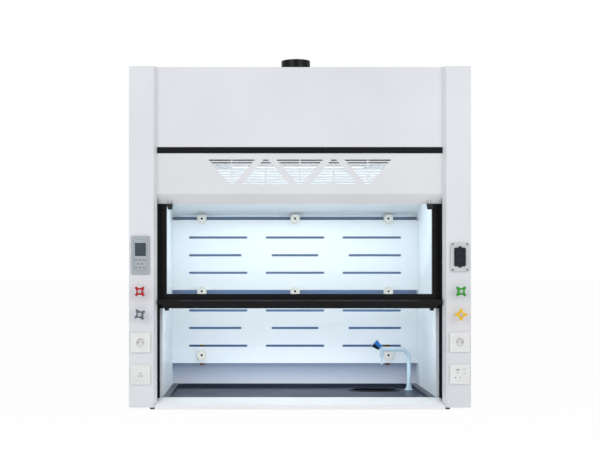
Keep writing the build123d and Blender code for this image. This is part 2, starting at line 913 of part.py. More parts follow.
# Bottom rail: hollow extrusion with the full-width finger ledge, and a tab for each sash cable
with BuildPart() as sash_bottom_rail:
    with BuildSketch(Plane.YZ):
        with Locations((depth(sash_middle), sash_bottom + bottom_rail_height / 2)):
            Rectangle(sash_thickness, bottom_rail_height)
        with Locations((depth(sash_middle), rail_top - groove_depth / 2)):
            Rectangle(groove_width, groove_depth, mode=Mode.SUBTRACT)
        core_top = rail_top - groove_depth - rail_wall
        core_bottom = sash_bottom + rail_wall
        with Locations((depth(sash_middle), (core_top + core_bottom) / 2)):
            Rectangle(sash_thickness - 2 * rail_wall, core_top - core_bottom, mode=Mode.SUBTRACT)
    extrude(amount=sash_half_width, both=True)
    with BuildSketch(Plane.YZ):
        with BuildLine():
            Polyline(
                *side_points(
                    [
                        (handle_front + handle_grip_depth, handle_top),
                        (handle_front + handle_edge, handle_top),
                        (handle_front, handle_top - handle_edge),
                        (handle_front, handle_top - handle_lip_height),
                        (handle_front + handle_wall, handle_top - handle_lip_height),
                        (handle_front + handle_wall, handle_top - handle_wall),
                        (handle_front + handle_grip_depth, handle_top - handle_wall),
                    ]
                ),
                close=True,
            )
        make_face()
    extrude(amount=sash_half_width + handle_end_reach, both=True)
    with BuildSketch(Plane.YZ):
        web_back = sash_front
        web_front = handle_front + handle_grip_depth
        with Locations((depth((web_front + web_back) / 2), handle_top - handle_wall / 2)):
            Rectangle(web_back - web_front, handle_wall)
    extrude(amount=handle_web_half_width, both=True)
    with BuildSketch(facing(handle_front)):
        lip_bottom = handle_top - handle_lip_height
        with BuildLine():
            Polyline(
                (-handle_web_half_width, lip_bottom),
                (-handle_web_half_width + handle_chamfer, lip_bottom - handle_drop),
                (handle_web_half_width - handle_chamfer, lip_bottom - handle_drop),
                (handle_web_half_width, lip_bottom),
                close=True,
            )
        make_face()
    extrude(amount=-handle_wall)
    with BuildSketch(Plane.XY.offset(sash_bottom + cable_tab_rise)):
        for hand in (-1, 1):
            with Locations((hand * (sash_half_width + cable_tab_x) / 2, depth(sash_middle))):
                Rectangle(cable_tab_x - sash_half_width, cable_tab_thickness)
    extrude(amount=cable_tab_height)
    with BuildSketch(Plane.XY.offset(sash_bottom)):
        for hand in (-1, 1):
            with Locations((hand * (sash_half_width - rail_cap_thickness / 2), depth(sash_middle))):
                Rectangle(rail_cap_thickness, sash_thickness)
    extrude(amount=cable_tab_rise + cable_tab_height + rail_cap_margin)
save(sash_bottom_rail, "sash_bottom_rail")

# Top rail: hollow extrusion that closes the frame above the glass
with BuildPart() as sash_top_rail:
    with BuildSketch(Plane.YZ):
        with Locations((depth(sash_middle), stile_top + top_rail_height / 2)):
            Rectangle(sash_thickness, top_rail_height)
        with Locations((depth(sash_middle), stile_top + groove_depth / 2)):
            Rectangle(groove_width, groove_depth, mode=Mode.SUBTRACT)
        core_low = stile_top + groove_depth + rail_wall
        core_high = sash_top - rail_wall
        with Locations((depth(sash_middle), (core_low + core_high) / 2)):
            Rectangle(sash_thickness - 2 * rail_wall, core_high - core_low, mode=Mode.SUBTRACT)
    extrude(amount=sash_half_width, both=True)
save(sash_top_rail, "sash_top_rail")

# Sash glass: one toughened pane in the grooves of the frame
with BuildPart() as sash_glass:
    glass_low = rail_top - groove_depth + groove_clearance
    glass_high = stile_top + groove_depth - groove_clearance
    with BuildSketch(Plane.XY.offset(glass_low)):
        with Locations((0, depth(sash_middle))):
            Rectangle(2 * glass_half_width, glass_thickness)
    extrude(amount=glass_high - glass_low)
save(sash_glass, "sash_glass")

# Sash bumpers: rubber feet under the bottom rail
with BuildPart() as sash_bumpers:
    for hand in (-1, 1):
        with BuildSketch(Plane.XY.offset(sash_bottom)):
            with Locations((hand * sash_bumper_x, depth(sash_middle))):
                Circle(sash_bumper_top_radius)
        with BuildSketch(Plane.XY.offset(sash_bottom - sash_bumper_length)):
            with Locations((hand * sash_bumper_x, depth(sash_middle))):
                Circle(sash_bumper_bottom_radius)
        loft()
save(sash_bumpers, "sash_bumpers")

# Header stops: tapered rubber under the lip, which end the handle's rise
with BuildPart() as header_stops:
    lip_run = lip_depth - header_setback
    lip_fall = lip_start - opening_top
    for hand in (-1, 1):
        stop_foot = (hand * stop_x, depth(stop_depth_back), 0)
        with BuildSketch(Plane(origin=stop_foot, x_dir=(1, 0, 0), z_dir=(0, -1, 0))):
            with BuildLine():
                Polyline(
                    (0, stop_bottom),
                    (stop_bottom_radius, stop_bottom),
                    (stop_top_radius, opening_top - skin),
                    (stop_bottom_radius, opening_top),
                    (stop_bottom_radius, opening_top + lip_fall),
                    (0, opening_top + lip_fall),
                    close=True,
                )
            make_face()
        revolve(axis=Axis(stop_foot, (0, 0, 1)))
    lip_plane = Plane(origin=(0, depth(header_setback), lip_start), z_dir=(0, lip_fall, lip_run))
    split(bisect_by=lip_plane, keep=Keep.BOTTOM)
save(header_stops, "header_stops")

# Counterweights: cast iron blocks that balance the sash, with an eye stud for the cable
sash_mass = glass_density * sash_glass.part.volume
sash_mass += aluminium_density * (2 * sash_stile.part.volume)
sash_mass += aluminium_density * (sash_bottom_rail.part.volume + sash_top_rail.part.volume)
weight_height = sash_mass / 2 / (iron_density * weight_width * weight_depth)
weight_top = weight_bottom + weight_height
for side_name, hand in (("left", -1), ("right", 1)):
    with BuildPart() as counterweight:
        with BuildSketch(Plane.XY.offset(weight_bottom)):
            with Locations((hand * cable_x, depth(rear_cable_depth))):
                RectangleRounded(weight_width, weight_depth, weight_corner)
        extrude(amount=weight_height)
        with BuildSketch(Plane.XY.offset(weight_top)):
            with Locations((hand * cable_x, depth(rear_cable_depth))):
                Circle(weight_stud_radius)
        extrude(amount=weight_stud_length)
    save(counterweight, f"counterweight_{side_name}")

# Pulleys: grooved wheels with lightening holes, two above the sash and two above the weights
pulley_rows = (("front_pulleys", front_pulley_depth), ("rear_pulleys", rear_pulley_depth))
for pulleys_name, pulley_depth in pulley_rows:
    with BuildPart() as pulleys:
        for hand in (-1, 1):
            hub = (hand * cable_x, depth(pulley_depth), pulley_height)
            rim = pulley_pitch_radius + pulley_rim
            with BuildSketch(Plane(origin=hub, x_dir=(1, 0, 0), z_dir=(0, 0, 1))):
                with Locations((0, (rim + pulley_bore_radius + running_clearance) / 2)):
                    Rectangle(pulley_width, rim - pulley_bore_radius - running_clearance)
                with Locations((0, pulley_pitch_radius)):
                    Circle(groove_radius, mode=Mode.SUBTRACT)
                with BuildLine():
                    Polyline(
                        (-groove_radius, pulley_pitch_radius),
                        (groove_radius, pulley_pitch_radius),
                        (2 * groove_radius, rim),
                        (-2 * groove_radius, rim),
                        close=True,
                    )
                make_face(mode=Mode.SUBTRACT)
            revolve(axis=Axis(hub, (1, 0, 0)))
            with BuildSketch(Plane(origin=hub, x_dir=(0, 1, 0), z_dir=(1, 0, 0))):
                with PolarLocations(lightening_circle, lightening_holes):
                    Circle(lightening_radius)
            extrude(amount=pulley_width, both=True, mode=Mode.SUBTRACT)
    save(pulleys, pulleys_name)

# Pulley brackets: folded forks hung under the roof, and the pins that the pulleys turn on
cheek_outer = pulley_width / 2 + bracket_side_gap + bracket_cheek
with BuildPart() as pulley_brackets:
    for pulleys_name, pulley_depth in pulley_rows:
        for hand in (-1, 1):
            with BuildSketch(facing(pulley_depth)):
                with BuildLine():
                    Polyline(
                        (hand * cable_x - cheek_outer, pulley_height - bracket_drop),
                        (hand * cable_x - cheek_outer, wall_height),
                        (hand * cable_x + cheek_outer, wall_height),
                        (hand * cable_x + cheek_outer, pulley_height - bracket_drop),
                    )
                    offset(amount=bracket_cheek, side=Side.RIGHT, kind=Kind.INTERSECTION)
                make_face()
            extrude(amount=bracket_half_depth, both=True)
    for pulleys_name, pulley_depth in pulley_rows:
        with BuildSketch(Plane.YZ):
            with Locations((depth(pulley_depth), pulley_height)):
                Circle(pulley_bore_radius + running_clearance)
        extrude(amount=side_x, both=True, mode=Mode.SUBTRACT)
save(pulley_brackets, "pulley_brackets")

with BuildPart() as pulley_axles:
    for pulleys_name, pulley_depth in pulley_rows:
        for hand in (-1, 1):
            with BuildSketch(Plane.YZ.offset(hand * cable_x)):
                with Locations((depth(pulley_depth), pulley_height)):
                    Circle(pulley_bore_radius)
            extrude(amount=cheek_outer, both=True)
            for end in (-1, 1):
                with BuildSketch(Plane.YZ.offset(hand * cable_x + end * cheek_outer)):
                    with Locations((depth(pulley_depth), pulley_height)):
                        Circle(axle_head_radius)
                extrude(amount=end * axle_head)
save(pulley_axles, "pulley_axles")

# Sash cables: steel rope from the sash tab up, over both pulleys and down to the counterweight
front_cable_depth = front_pulley_depth - pulley_pitch_radius
with BuildPart() as cable_front_runs:
    with BuildSketch(Plane.XY.offset(tab_top)):
        for hand in (-1, 1):
            with Locations((hand * cable_x, depth(front_cable_depth))):
                Circle(cable_radius)
    extrude(amount=pulley_height - tab_top)
save(cable_front_runs, "cable_front_runs")

with BuildPart() as cable_rear_runs:
    eye_top = weight_top + weight_stud_length
    with BuildSketch(Plane.XY.offset(eye_top)):
        for hand in (-1, 1):
            with Locations((hand * cable_x, depth(rear_cable_depth))):
                Circle(cable_radius)
    extrude(amount=pulley_height - eye_top)
save(cable_rear_runs, "cable_rear_runs")

with BuildPart() as cable_top_runs:
    for hand in (-1, 1):
        run_top = pulley_height + pulley_pitch_radius
        with BuildLine(Plane.YZ.offset(hand * cable_x)) as cable_route:
            RadiusArc(
                (depth(front_cable_depth), pulley_height),
                (depth(front_pulley_depth), run_top),
                pulley_pitch_radius,
            )
            Line((depth(front_pulley_depth), run_top), (depth(rear_pulley_depth), run_top))
            RadiusArc(
                (depth(rear_pulley_depth), run_top),
                (depth(rear_cable_depth), pulley_height),
                pulley_pitch_radius,
            )
        with BuildSketch(Plane.XY.offset(pulley_height)):
            with Locations((hand * cable_x, depth(front_cable_depth))):
                Circle(cable_radius)
        sweep(path=cable_route.wires()[0])
save(cable_top_runs, "cable_top_runs")

# Exhaust collar: black moulded spigot on a flange that lies on the roof, its neck down to the ceiling
with BuildPart() as exhaust_collar:
    with BuildSketch(Plane.XY.offset(ceiling_height)):
        with Locations((0, depth(collar_depth_back))):
            Circle(collar_neck_radius)
    extrude(amount=hood_height - ceiling_height)
    with BuildSketch(Plane.XY.offset(hood_height)):
        with Locations((0, depth(collar_depth_back))):
            Circle(collar_flange_radius)
    extrude(amount=collar_flange)
    with BuildSketch(Plane.XY.offset(hood_height)):
        with Locations((0, depth(collar_depth_back))):
            Circle(collar_radius)
    extrude(amount=collar_rise)
    with BuildSketch(Plane.XY.offset(ceiling_height)):
        with Locations((0, depth(collar_depth_back))):
            Circle(collar_radius - collar_wall)
    extrude(amount=collar_top - ceiling_height, mode=Mode.SUBTRACT)
save(exhaust_collar, "exhaust_collar")

# Lamp: a steel tray on the ceiling, and the opal diffuser that drops into the cut-out
ceiling_top = ceiling_height + ceiling_thickness
shell_length = lamp_length + 2 * lamp_shell_margin
shell_width = lamp_width + 2 * lamp_shell_margin
with BuildPart() as lamp_housing:
    with BuildSketch(Plane.XY.offset(ceiling_top)):
        with Locations((0, depth(lamp_depth_back))):
            Rectangle(shell_length, shell_width)
    extrude(amount=lamp_shell_height)
    with BuildSketch(Plane.XY.offset(ceiling_top)):
        with Locations((0, depth(lamp_depth_back))):
            Rectangle(shell_length - 2 * skin, shell_width - 2 * skin)
    extrude(amount=lamp_shell_height - skin, mode=Mode.SUBTRACT)
save(lamp_housing, "lamp_housing")

with BuildPart() as lamp_diffuser:
    with BuildSketch(Plane.XY.offset(ceiling_height - lamp_lens_drop)):
        with Locations((0, depth(lamp_depth_back))):
            Rectangle(lamp_length - 2 * seam, lamp_width - 2 * seam)
    extrude(amount=lamp_lens_drop + ceiling_thickness)
    with BuildSketch(Plane.XY.offset(ceiling_top)):
        with Locations((0, depth(lamp_depth_back))):
            Rectangle(lamp_length + 2 * lamp_lip, lamp_width + 2 * lamp_lip)
    extrude(amount=lamp_lens_flange)
save(lamp_diffuser, "lamp_diffuser")

# Controller: moulded bezel with a raised membrane panel, key domes and a recess for the screen
panel_front = -(controller_thickness + controller_panel_raise)
with BuildPart() as controller_housing:
    with BuildSketch(facing(0)):
        with Locations((left_fitting_x, controller_z)):
            RectangleRounded(controller_width, controller_height, controller_corner)
    extrude(amount=controller_thickness)
    fillet(controller_housing.faces().sort_by(Axis.Y)[0].edges(), controller_edge)
    with BuildSketch(facing(-controller_thickness)):
        with Locations((left_fitting_x, controller_z)):
            RectangleRounded(controller_panel_width, controller_panel_height, controller_panel_corner)
    extrude(amount=controller_panel_raise)
    with BuildSketch(facing(panel_front)):
        with Locations((left_fitting_x, controller_z + screen_rise)):
            RectangleRounded(screen_width, screen_height, screen_corner)
    extrude(amount=-screen_recess, mode=Mode.SUBTRACT)
    with BuildSketch(facing(panel_front)):
        for drop, count in zip(key_row_drops, key_row_counts):
            for key in range(count):
                across = (key - (count - 1) / 2) * key_pitch
                with Locations((left_fitting_x + across, controller_z - drop)):
                    Ellipse(key_length / 2, key_width / 2)
    extrude(amount=key_raise)
    with BuildSketch(facing(0)):
        with Locations((left_fitting_x, controller_z)):
            Rectangle(controller_box_width, controller_box_height)
    extrude(amount=-controller_box_depth)
save(controller_housing, "controller_housing")

with BuildPart() as controller_screen:
    with BuildSketch(facing(panel_front + screen_recess)):
        with Locations((left_fitting_x, controller_z + screen_rise)):
            RectangleRounded(screen_width - 2 * seam, screen_height - 2 * seam, screen_corner - seam)
    extrude(amount=screen_recess - seam)
save(controller_screen, "controller_screen")

# Breaker plate: moulded plate and box, with a window, ears for the flap and four screw holes
flap_axis_depth = -(breaker_thickness + flap_barrel_radius + running_clearance * 2)
flap_top = breaker_z + flap_height / 2
flap_axis_z = flap_top + flap_barrel_rise
screw_places = GridLocations(screw_spacing_x, screw_spacing_z, 2, 2)
screw_points = [
    (right_fitting_x + place.position.X, breaker_z + place.position.Y) for place in screw_places
]
with BuildPart() as breaker_plate:
    with BuildSketch(facing(0)):
        with Locations((right_fitting_x, breaker_z)):
            RectangleRounded(breaker_width, breaker_height, breaker_corner)
    extrude(amount=breaker_thickness)
    fillet(breaker_plate.faces().sort_by(Axis.Y)[0].edges(), breaker_edge)
    with BuildSketch(facing(0)):
        with Locations((right_fitting_x, breaker_z)):
            Rectangle(breaker_box_width, breaker_box_height)
    extrude(amount=-breaker_box_depth)
    with BuildSketch(facing(-breaker_thickness)):
        with Locations((right_fitting_x, breaker_z)):
            Rectangle(breaker_window_width, breaker_window_height)
    extrude(amount=-(breaker_thickness + breaker_floor_depth), mode=Mode.SUBTRACT)
    with BuildSketch(facing(-breaker_thickness)):
        with Locations(*screw_points):
            Circle(screw_shank_radius + running_clearance)
    extrude(amount=-(screw_shank + seam), mode=Mode.SUBTRACT)
    for hand in (-1, 1):
        ear_inner = flap_tab / 2 + seam
        with BuildSketch(Plane.YZ.offset(right_fitting_x + hand * ear_inner)):
            with Locations((depth(flap_axis_depth), flap_axis_z)):
                Circle(flap_barrel_radius + flap_ear_wall)
            with BuildLine():
                Polyline(
                    (depth(flap_axis_depth), flap_axis_z + flap_barrel_radius + flap_ear_wall),
                    (depth(flap_ear_root - breaker_thickness), flap_axis_z + flap_barrel_radius + flap_ear_wall),
                    (depth(flap_ear_root - breaker_thickness), flap_axis_z - flap_barrel_radius - flap_ear_wall),
                    (depth(flap_axis_depth), flap_axis_z - flap_barrel_radius - flap_ear_wall),
                    close=True,
                )
            make_face()
        extrude(amount=hand * flap_ear)
    with BuildSketch(Plane.YZ.offset(right_fitting_x)):
        with Locations((depth(flap_axis_depth), flap_axis_z)):
            Circle(flap_pin_radius + running_clearance)
    extrude(amount=flap_tab, both=True, mode=Mode.SUBTRACT)
    with BuildSketch(Plane.YZ.offset(right_fitting_x)):
        with Locations((depth(toggle_axis_depth), breaker_z)):
            Circle(toggle_pin_radius + running_clearance)
    extrude(amount=breaker_window_width / 2 + toggle_pin + seam, both=True, mode=Mode.SUBTRACT)
save(breaker_plate, "breaker_plate")

with BuildPart() as plate_screws:
    for x, z in screw_points:
        with BuildSketch(facing(-breaker_thickness)):
            with Locations((x, z)):
                Circle(screw_head_radius)
        extrude(amount=screw_head)
        with BuildSketch(facing(-breaker_thickness)):
            with Locations((x, z)):
                Circle(screw_shank_radius)
        extrude(amount=-screw_shank)
save(plate_screws, "plate_screws")

# Breaker toggles: two levers on one barrel, pivoted in the sides of the window
with BuildPart() as breaker_toggles:
    barrel_half = breaker_window_width / 2 - seam * 2
    with BuildSketch(Plane.YZ.offset(right_fitting_x)):
        with Locations((depth(toggle_axis_depth), breaker_z)):
            Circle(toggle_barrel_radius)
    extrude(amount=barrel_half, both=True)
    with BuildSketch(Plane.YZ.offset(right_fitting_x)):
        with Locations((depth(toggle_axis_depth), breaker_z)):
            Circle(toggle_pin_radius)
    extrude(amount=breaker_window_width / 2 + toggle_pin, both=True)
    for hand in (-1, 1):
        lever_centre = right_fitting_x + hand * toggle_spacing / 2
        with BuildSketch(Plane.YZ.offset(lever_centre)):
            with Locations(Location((depth(toggle_axis_depth), breaker_z), 180 - toggle_tilt)):
                with Locations((toggle_reach / 2 + toggle_barrel_radius / 2, 0)):
                    Rectangle(toggle_reach + toggle_barrel_radius, toggle_thickness)
        extrude(amount=toggle_width / 2, both=True)
save(breaker_toggles, "breaker_toggles")

# Breaker flap: smoked cover that lifts on a barrel between the ears of the plate
with BuildPart() as breaker_flap:
    flap_front = -(breaker_thickness + flap_front_gap + flap_thickness)
    with BuildSketch(facing(flap_front)):
        with Locations((right_fitting_x, breaker_z)):
            RectangleRounded(flap_width, flap_height, flap_corner)
        pull_top = breaker_z - flap_height / 2 + 2 * flap_overlap
        with Locations((right_fitting_x, pull_top - flap_pull_drop / 2 - flap_overlap)):
            RectangleRounded(flap_pull_width, flap_pull_drop + 2 * flap_overlap, flap_pull_corner)
        with Locations((right_fitting_x, flap_top + (flap_barrel_rise - flap_overlap) / 2)):
            Rectangle(flap_tab, flap_barrel_rise + flap_overlap)
    extrude(amount=-flap_thickness)
    with BuildSketch(Plane.YZ.offset(right_fitting_x)):
        with Locations((depth(flap_axis_depth), flap_axis_z)):
            Circle(flap_barrel_radius)
    extrude(amount=flap_tab / 2, both=True)
    with BuildSketch(Plane.YZ.offset(right_fitting_x)):
        with Locations((depth(flap_axis_depth), flap_axis_z)):
            Circle(flap_pin_radius)
    extrude(amount=flap_tab / 2 + seam + flap_ear, both=True)
save(breaker_flap, "breaker_flap")

# Service valves: body behind the post, neck through it, and the spindle that the knob turns on
service_knobs = (
    ("red_knob", left_fitting_x, upper_knob_z, red_knob_turn),
    ("grey_knob", left_fitting_x, lower_knob_z, grey_knob_turn),
    ("green_knob", right_fitting_x, upper_knob_z, green_knob_turn),
    ("yellow_knob", right_fitting_x, lower_knob_z, yellow_knob_turn),
)
with BuildPart() as service_valves:
    for knob_name, x, z, turn in service_knobs:
        with BuildSketch(facing(skin)):
            with Locations((x, z)):
                RectangleRounded(valve_body, valve_body, valve_corner)
        extrude(amount=-valve_body_length)
        with BuildSketch(facing(skin)):
            with Locations((x, z)):
                Circle(valve_neck_radius)
        extrude(amount=skin)
        with BuildSketch(facing(skin)):
            with Locations((x, z)):
                Circle(spindle_radius)
        extrude(amount=spindle_reach + skin)
save(service_valves, "service_valves")

with BuildPart() as valve_escutcheons:
    for knob_name, x, z, turn in service_knobs:
        with BuildSketch(facing(0)):
            with Locations((x, z)):
                Circle(escutcheon_radius)
                Circle(spindle_radius + seam, mode=Mode.SUBTRACT)
        extrude(amount=escutcheon_thickness, taper=escutcheon_taper)
save(valve_escutcheons, "valve_escutcheons")

# Service knobs: four-lobed moulded handles with a hub and a centre cap
for knob_name, x, z, turn in service_knobs:
    with BuildPart() as service_knob:
        with BuildSketch(facing(-lobe_back)):
            with Locations(Location((x, z), turn)):
                Circle(lobe_tip_radius)
                with PolarLocations(lobe_cut_reach, lobe_count, start_angle=180 / lobe_count):
                    Circle(lobe_cut_radius, mode=Mode.SUBTRACT)
        extrude(amount=lobe_thickness)
        fillet(service_knob.faces().sort_by(Axis.Y)[0].edges(), lobe_edge)
        with BuildSketch(facing(-knob_hub_back)):
            with Locations((x, z)):
                Circle(knob_hub_radius)
        extrude(amount=lobe_back - knob_hub_back)
        with BuildSketch(facing(-lobe_back - lobe_thickness)):
            with Locations((x, z)):
                Circle(knob_cap_radius)
        extrude(amount=knob_cap)
        with BuildSketch(facing(-knob_hub_back)):
            with Locations((x, z)):
                Circle(spindle_radius + running_clearance)
        extrude(amount=spindle_reach - knob_hub_back + knob_bore_extra, mode=Mode.SUBTRACT)
    save(service_knob, knob_name)

# Round socket plates: square plate, raised square insert, round recess with pin holes
with BuildPart() as round_sockets:
    for x, z in ((left_fitting_x, left_round_z), (right_fitting_x, right_round_z)):
        with BuildSketch(facing(0)):
            with Locations((x, z)):
                RectangleRounded(plate_size, plate_size, plate_corner)
        extrude(amount=plate_thickness)
        with BuildSketch(facing(-plate_thickness)):
            with Locations((x, z)):
                Rectangle(insert_size, insert_size)
        extrude(amount=insert_raise)
        with BuildSketch(facing(0)):
            with Locations((x, z)):
                Circle(socket_box_radius)
        extrude(amount=-socket_box_depth)
        with BuildSketch(facing(-plate_thickness - insert_raise)):
            with Locations((x, z)):
                Circle(recess_radius)
        extrude(amount=-recess_depth, mode=Mode.SUBTRACT)
        with BuildSketch(facing(recess_depth - plate_thickness - insert_raise)):
            with Locations((x - pin_spacing / 2, z), (x + pin_spacing / 2, z)):
                Circle(pin_hole_radius)
        extrude(amount=-pin_hole_depth, mode=Mode.SUBTRACT)
save(round_sockets, "round_sockets")

# Pin socket plates: three holes on the left, three holes, a flag slot and a rocker on the right
rocker_x = right_fitting_x + rocker_x_offset
rocker_z = right_pin_z + rocker_z_offset
socket_front = -(plate_thickness + insert_raise)
with BuildPart() as pin_sockets:
    for x, z in ((left_fitting_x, left_pin_z), (right_fitting_x, right_pin_z)):
        with BuildSketch(facing(0)):
            with Locations((x, z)):
                RectangleRounded(plate_size, plate_size, plate_corner)
        extrude(amount=plate_thickness)
        with BuildSketch(facing(-plate_thickness)):
            with Locations((x, z)):
                Rectangle(insert_size, insert_size)
        extrude(amount=insert_raise)
        with BuildSketch(facing(0)):
            with Locations((x, z)):
                Circle(socket_box_radius)
        extrude(amount=-socket_box_depth)
    with BuildSketch(facing(socket_front)):
        for across, up in left_pins:
            with Locations((left_fitting_x + across, left_pin_z + up)):
                Circle(pin_hole_radius)
        for across, up in right_pins:
            with Locations((right_fitting_x + across, right_pin_z + up)):
                Circle(pin_hole_radius)
        with Locations((right_fitting_x + flat_pin_place[0], right_pin_z + flat_pin_place[1])):
            Rectangle(flat_pin_width, flat_pin_height)
    extrude(amount=-plate_thickness, mode=Mode.SUBTRACT)
    with BuildSketch(facing(socket_front)):
        with Locations((rocker_x, rocker_z)):
            Rectangle(rocker_width, rocker_height)
    extrude(amount=-(plate_thickness - rocker_floor), mode=Mode.SUBTRACT)
    with BuildSketch(Plane.YZ.offset(rocker_x)):
        with Locations((depth(-plate_thickness / 2), rocker_z)):
            Circle(rocker_pin_radius + running_clearance)
    extrude(amount=rocker_width / 2 + rocker_pin + seam, both=True, mode=Mode.SUBTRACT)
save(pin_sockets, "pin_sockets")

# Socket rocker: a small paddle pivoted across its window
with BuildPart() as socket_rocker:
    with BuildSketch(Plane.YZ.offset(rocker_x)):
        with Locations(Location((depth(-plate_thickness / 2), rocker_z), rocker_tilt)):
            with Locations((-plate_thickness / 4, 0)):
                Rectangle(plate_thickness / 2, rocker_height - 2 * rocker_swing_gap)
    extrude(amount=rocker_width / 2 - rocker_gap, both=True)
    with BuildSketch(Plane.YZ.offset(rocker_x)):
        with Locations((depth(-plate_thickness / 2), rocker_z)):
            Circle(rocker_pin_radius)
    extrude(amount=rocker_width / 2 + rocker_pin, both=True)
save(socket_rocker, "socket_rocker")

# Water tap: flange, column, bent pipe, valve head and a barbed nozzle, and the stem for the knob
tap_y = depth(tap_depth_back)
tap_direction = Vector(
    -math.sin(math.radians(tap_knob_tilt)), 0, math.cos(math.radians(tap_knob_tilt))
)
with BuildPart() as tap_body:
    with BuildSketch(Plane.XY.offset(dish_floor)):
        with Locations((tap_x, tap_y)):
            Circle(tap_flange_radius)
    extrude(amount=tap_flange, taper=tap_flange_taper)
    with BuildSketch(Plane.XY.offset(dish_floor)):
        with Locations((tap_x, tap_y)):
            Circle(tap_column_radius)
    extrude(amount=tap_column_top - dish_floor)
    with BuildLine(Plane.XZ.offset(-tap_y)) as tap_route:
        FilletPolyline(
            (tap_x, dish_floor),
            (tap_x, tap_pipe_height),
            (tap_head_x, tap_pipe_height),
            radius=tap_bend_radius,
        )
    with BuildSketch(Plane.XY.offset(dish_floor)):
        with Locations((tap_x, tap_y)):
            Circle(tap_pipe_radius)
    sweep(path=tap_route.wires()[0])
    with BuildSketch(Plane.XY.offset(tap_pipe_height - tap_head_drop)):
        with Locations((tap_head_x, tap_y)):
            Circle(tap_head_radius)
    extrude(amount=tap_head_rise + tap_head_drop)
    with BuildSketch(Plane.XY.offset(tap_nozzle_bottom)):
        with Locations((tap_head_x, tap_y)):
            Circle(tap_nozzle_radius - tap_barb_rise)
    extrude(amount=tap_pipe_height - tap_nozzle_bottom)
    for barb in range(tap_nozzle_barbs):
        barb_z = tap_nozzle_bottom + barb * tap_barb_step
        with BuildSketch(Plane.XY.offset(barb_z)):
            with Locations((tap_head_x, tap_y)):
                Circle(tap_nozzle_radius - tap_barb_rise)
        with BuildSketch(Plane.XY.offset(barb_z + tap_barb_step * tap_barb_share)):
            with Locations((tap_head_x, tap_y)):
                Circle(tap_nozzle_radius)
        loft()
    with BuildSketch(Plane(origin=(tap_head_x, tap_y, tap_pipe_height), z_dir=tap_direction)):
        Circle(tap_head_radius - tap_neck_step)
    extrude(amount=tap_knob_offset - tap_neck_step)
    with BuildSketch(Plane(origin=(tap_head_x, tap_y, tap_pipe_height), z_dir=tap_direction)):
        Circle(tap_stem_radius)
    extrude(amount=tap_stem_reach)
save(tap_body, "tap_body")

# Tap knob: flared moulding with shallow flutes, blind bore on the stem
with BuildPart() as tap_knob:
    knob_base = Vector(tap_head_x, tap_y, tap_pipe_height) + tap_direction * tap_knob_offset
    knob_plane = Plane(origin=knob_base, z_dir=tap_direction)
    with BuildSketch(knob_plane):
        Circle(tap_knob_small)
    with BuildSketch(knob_plane.offset(tap_knob_length)):
        Circle(tap_knob_large)
    loft()
    with BuildSketch(knob_plane.offset(tap_knob_length)):
        with PolarLocations(tap_knob_large, tap_knob_flutes):
            Circle(tap_flute_radius)
    extrude(amount=-tap_knob_length * tap_flute_share, mode=Mode.SUBTRACT)
    with BuildSketch(knob_plane):
        Circle(tap_stem_radius + running_clearance)
    extrude(amount=tap_stem_reach - tap_knob_offset + tap_bore_extra, mode=Mode.SUBTRACT)
save(tap_knob, "tap_knob")
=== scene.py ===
import math

import bmesh
import bpy
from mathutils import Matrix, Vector


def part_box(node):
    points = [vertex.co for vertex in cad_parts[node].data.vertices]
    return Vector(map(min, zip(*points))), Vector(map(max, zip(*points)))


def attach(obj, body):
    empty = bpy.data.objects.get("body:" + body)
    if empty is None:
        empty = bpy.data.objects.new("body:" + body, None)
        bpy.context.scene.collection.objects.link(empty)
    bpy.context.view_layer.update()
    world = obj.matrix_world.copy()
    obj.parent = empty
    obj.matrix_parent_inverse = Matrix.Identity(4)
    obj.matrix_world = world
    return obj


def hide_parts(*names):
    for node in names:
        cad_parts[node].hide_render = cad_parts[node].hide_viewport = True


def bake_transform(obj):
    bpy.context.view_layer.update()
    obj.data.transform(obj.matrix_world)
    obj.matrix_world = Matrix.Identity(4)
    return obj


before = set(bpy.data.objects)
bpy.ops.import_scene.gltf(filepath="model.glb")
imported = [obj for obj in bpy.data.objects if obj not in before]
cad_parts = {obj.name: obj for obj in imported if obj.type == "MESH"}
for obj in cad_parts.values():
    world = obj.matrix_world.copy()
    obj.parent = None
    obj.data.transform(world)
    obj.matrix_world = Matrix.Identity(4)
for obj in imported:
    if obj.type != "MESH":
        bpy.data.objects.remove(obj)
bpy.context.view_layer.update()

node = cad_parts


# Camera. It stands a little left of the middle of the hood, at the height of the sash handle,
# and looks straight at the back wall, so that the posts stay upright in the picture.
camera = bpy.data.objects.new("camera", bpy.data.cameras.new("camera"))
bpy.context.scene.collection.objects.link(camera)
camera.location = (-0.1886, -5.725, 0.598)
camera.rotation_euler = (math.radians(90), 0, 0)
camera.data.sensor_width = 36.0
camera.data.lens = 72.52
camera.data.shift_x = 0.0717
camera.data.shift_y = 0.08
camera.data.clip_end = 200.0
bpy.context.scene.camera = camera


# Studio. A white floor and a white surround that lights the hood softly from all round,
# two wide soft lamps in front of it, and one above for the roof.
def tone(red, green, blue):
    """Colour of a surface from the 0 to 255 values that it is seen with."""
    seen = [value / 255 for value in (red, green, blue)]
    return [v / 12.92 if v <= 0.04045 else ((v + 0.055) / 1.055) ** 2.4 for v in seen] + [1.0]


def soft_lamp(name, place, aim, width, height, power, colour=(1, 1, 1), inside=False):
    """A rectangular softbox at place, turned to shine at aim. Inside the hood it casts light unseen."""
    light = bpy.data.lights.new(name, "AREA")
    light.shape = "RECTANGLE"
    light.size = width
    light.size_y = height
    light.energy = power
    light.color = colour
    lamp = bpy.data.objects.new(name, light)
    bpy.context.scene.collection.objects.link(lamp)
    lamp.location = place
    lamp.rotation_euler = (Vector(aim) - Vector(place)).to_track_quat("-Z", "Y").to_euler()
    lamp.visible_camera = False
    lamp.visible_transmission = not inside
    lamp.visible_glossy = not inside


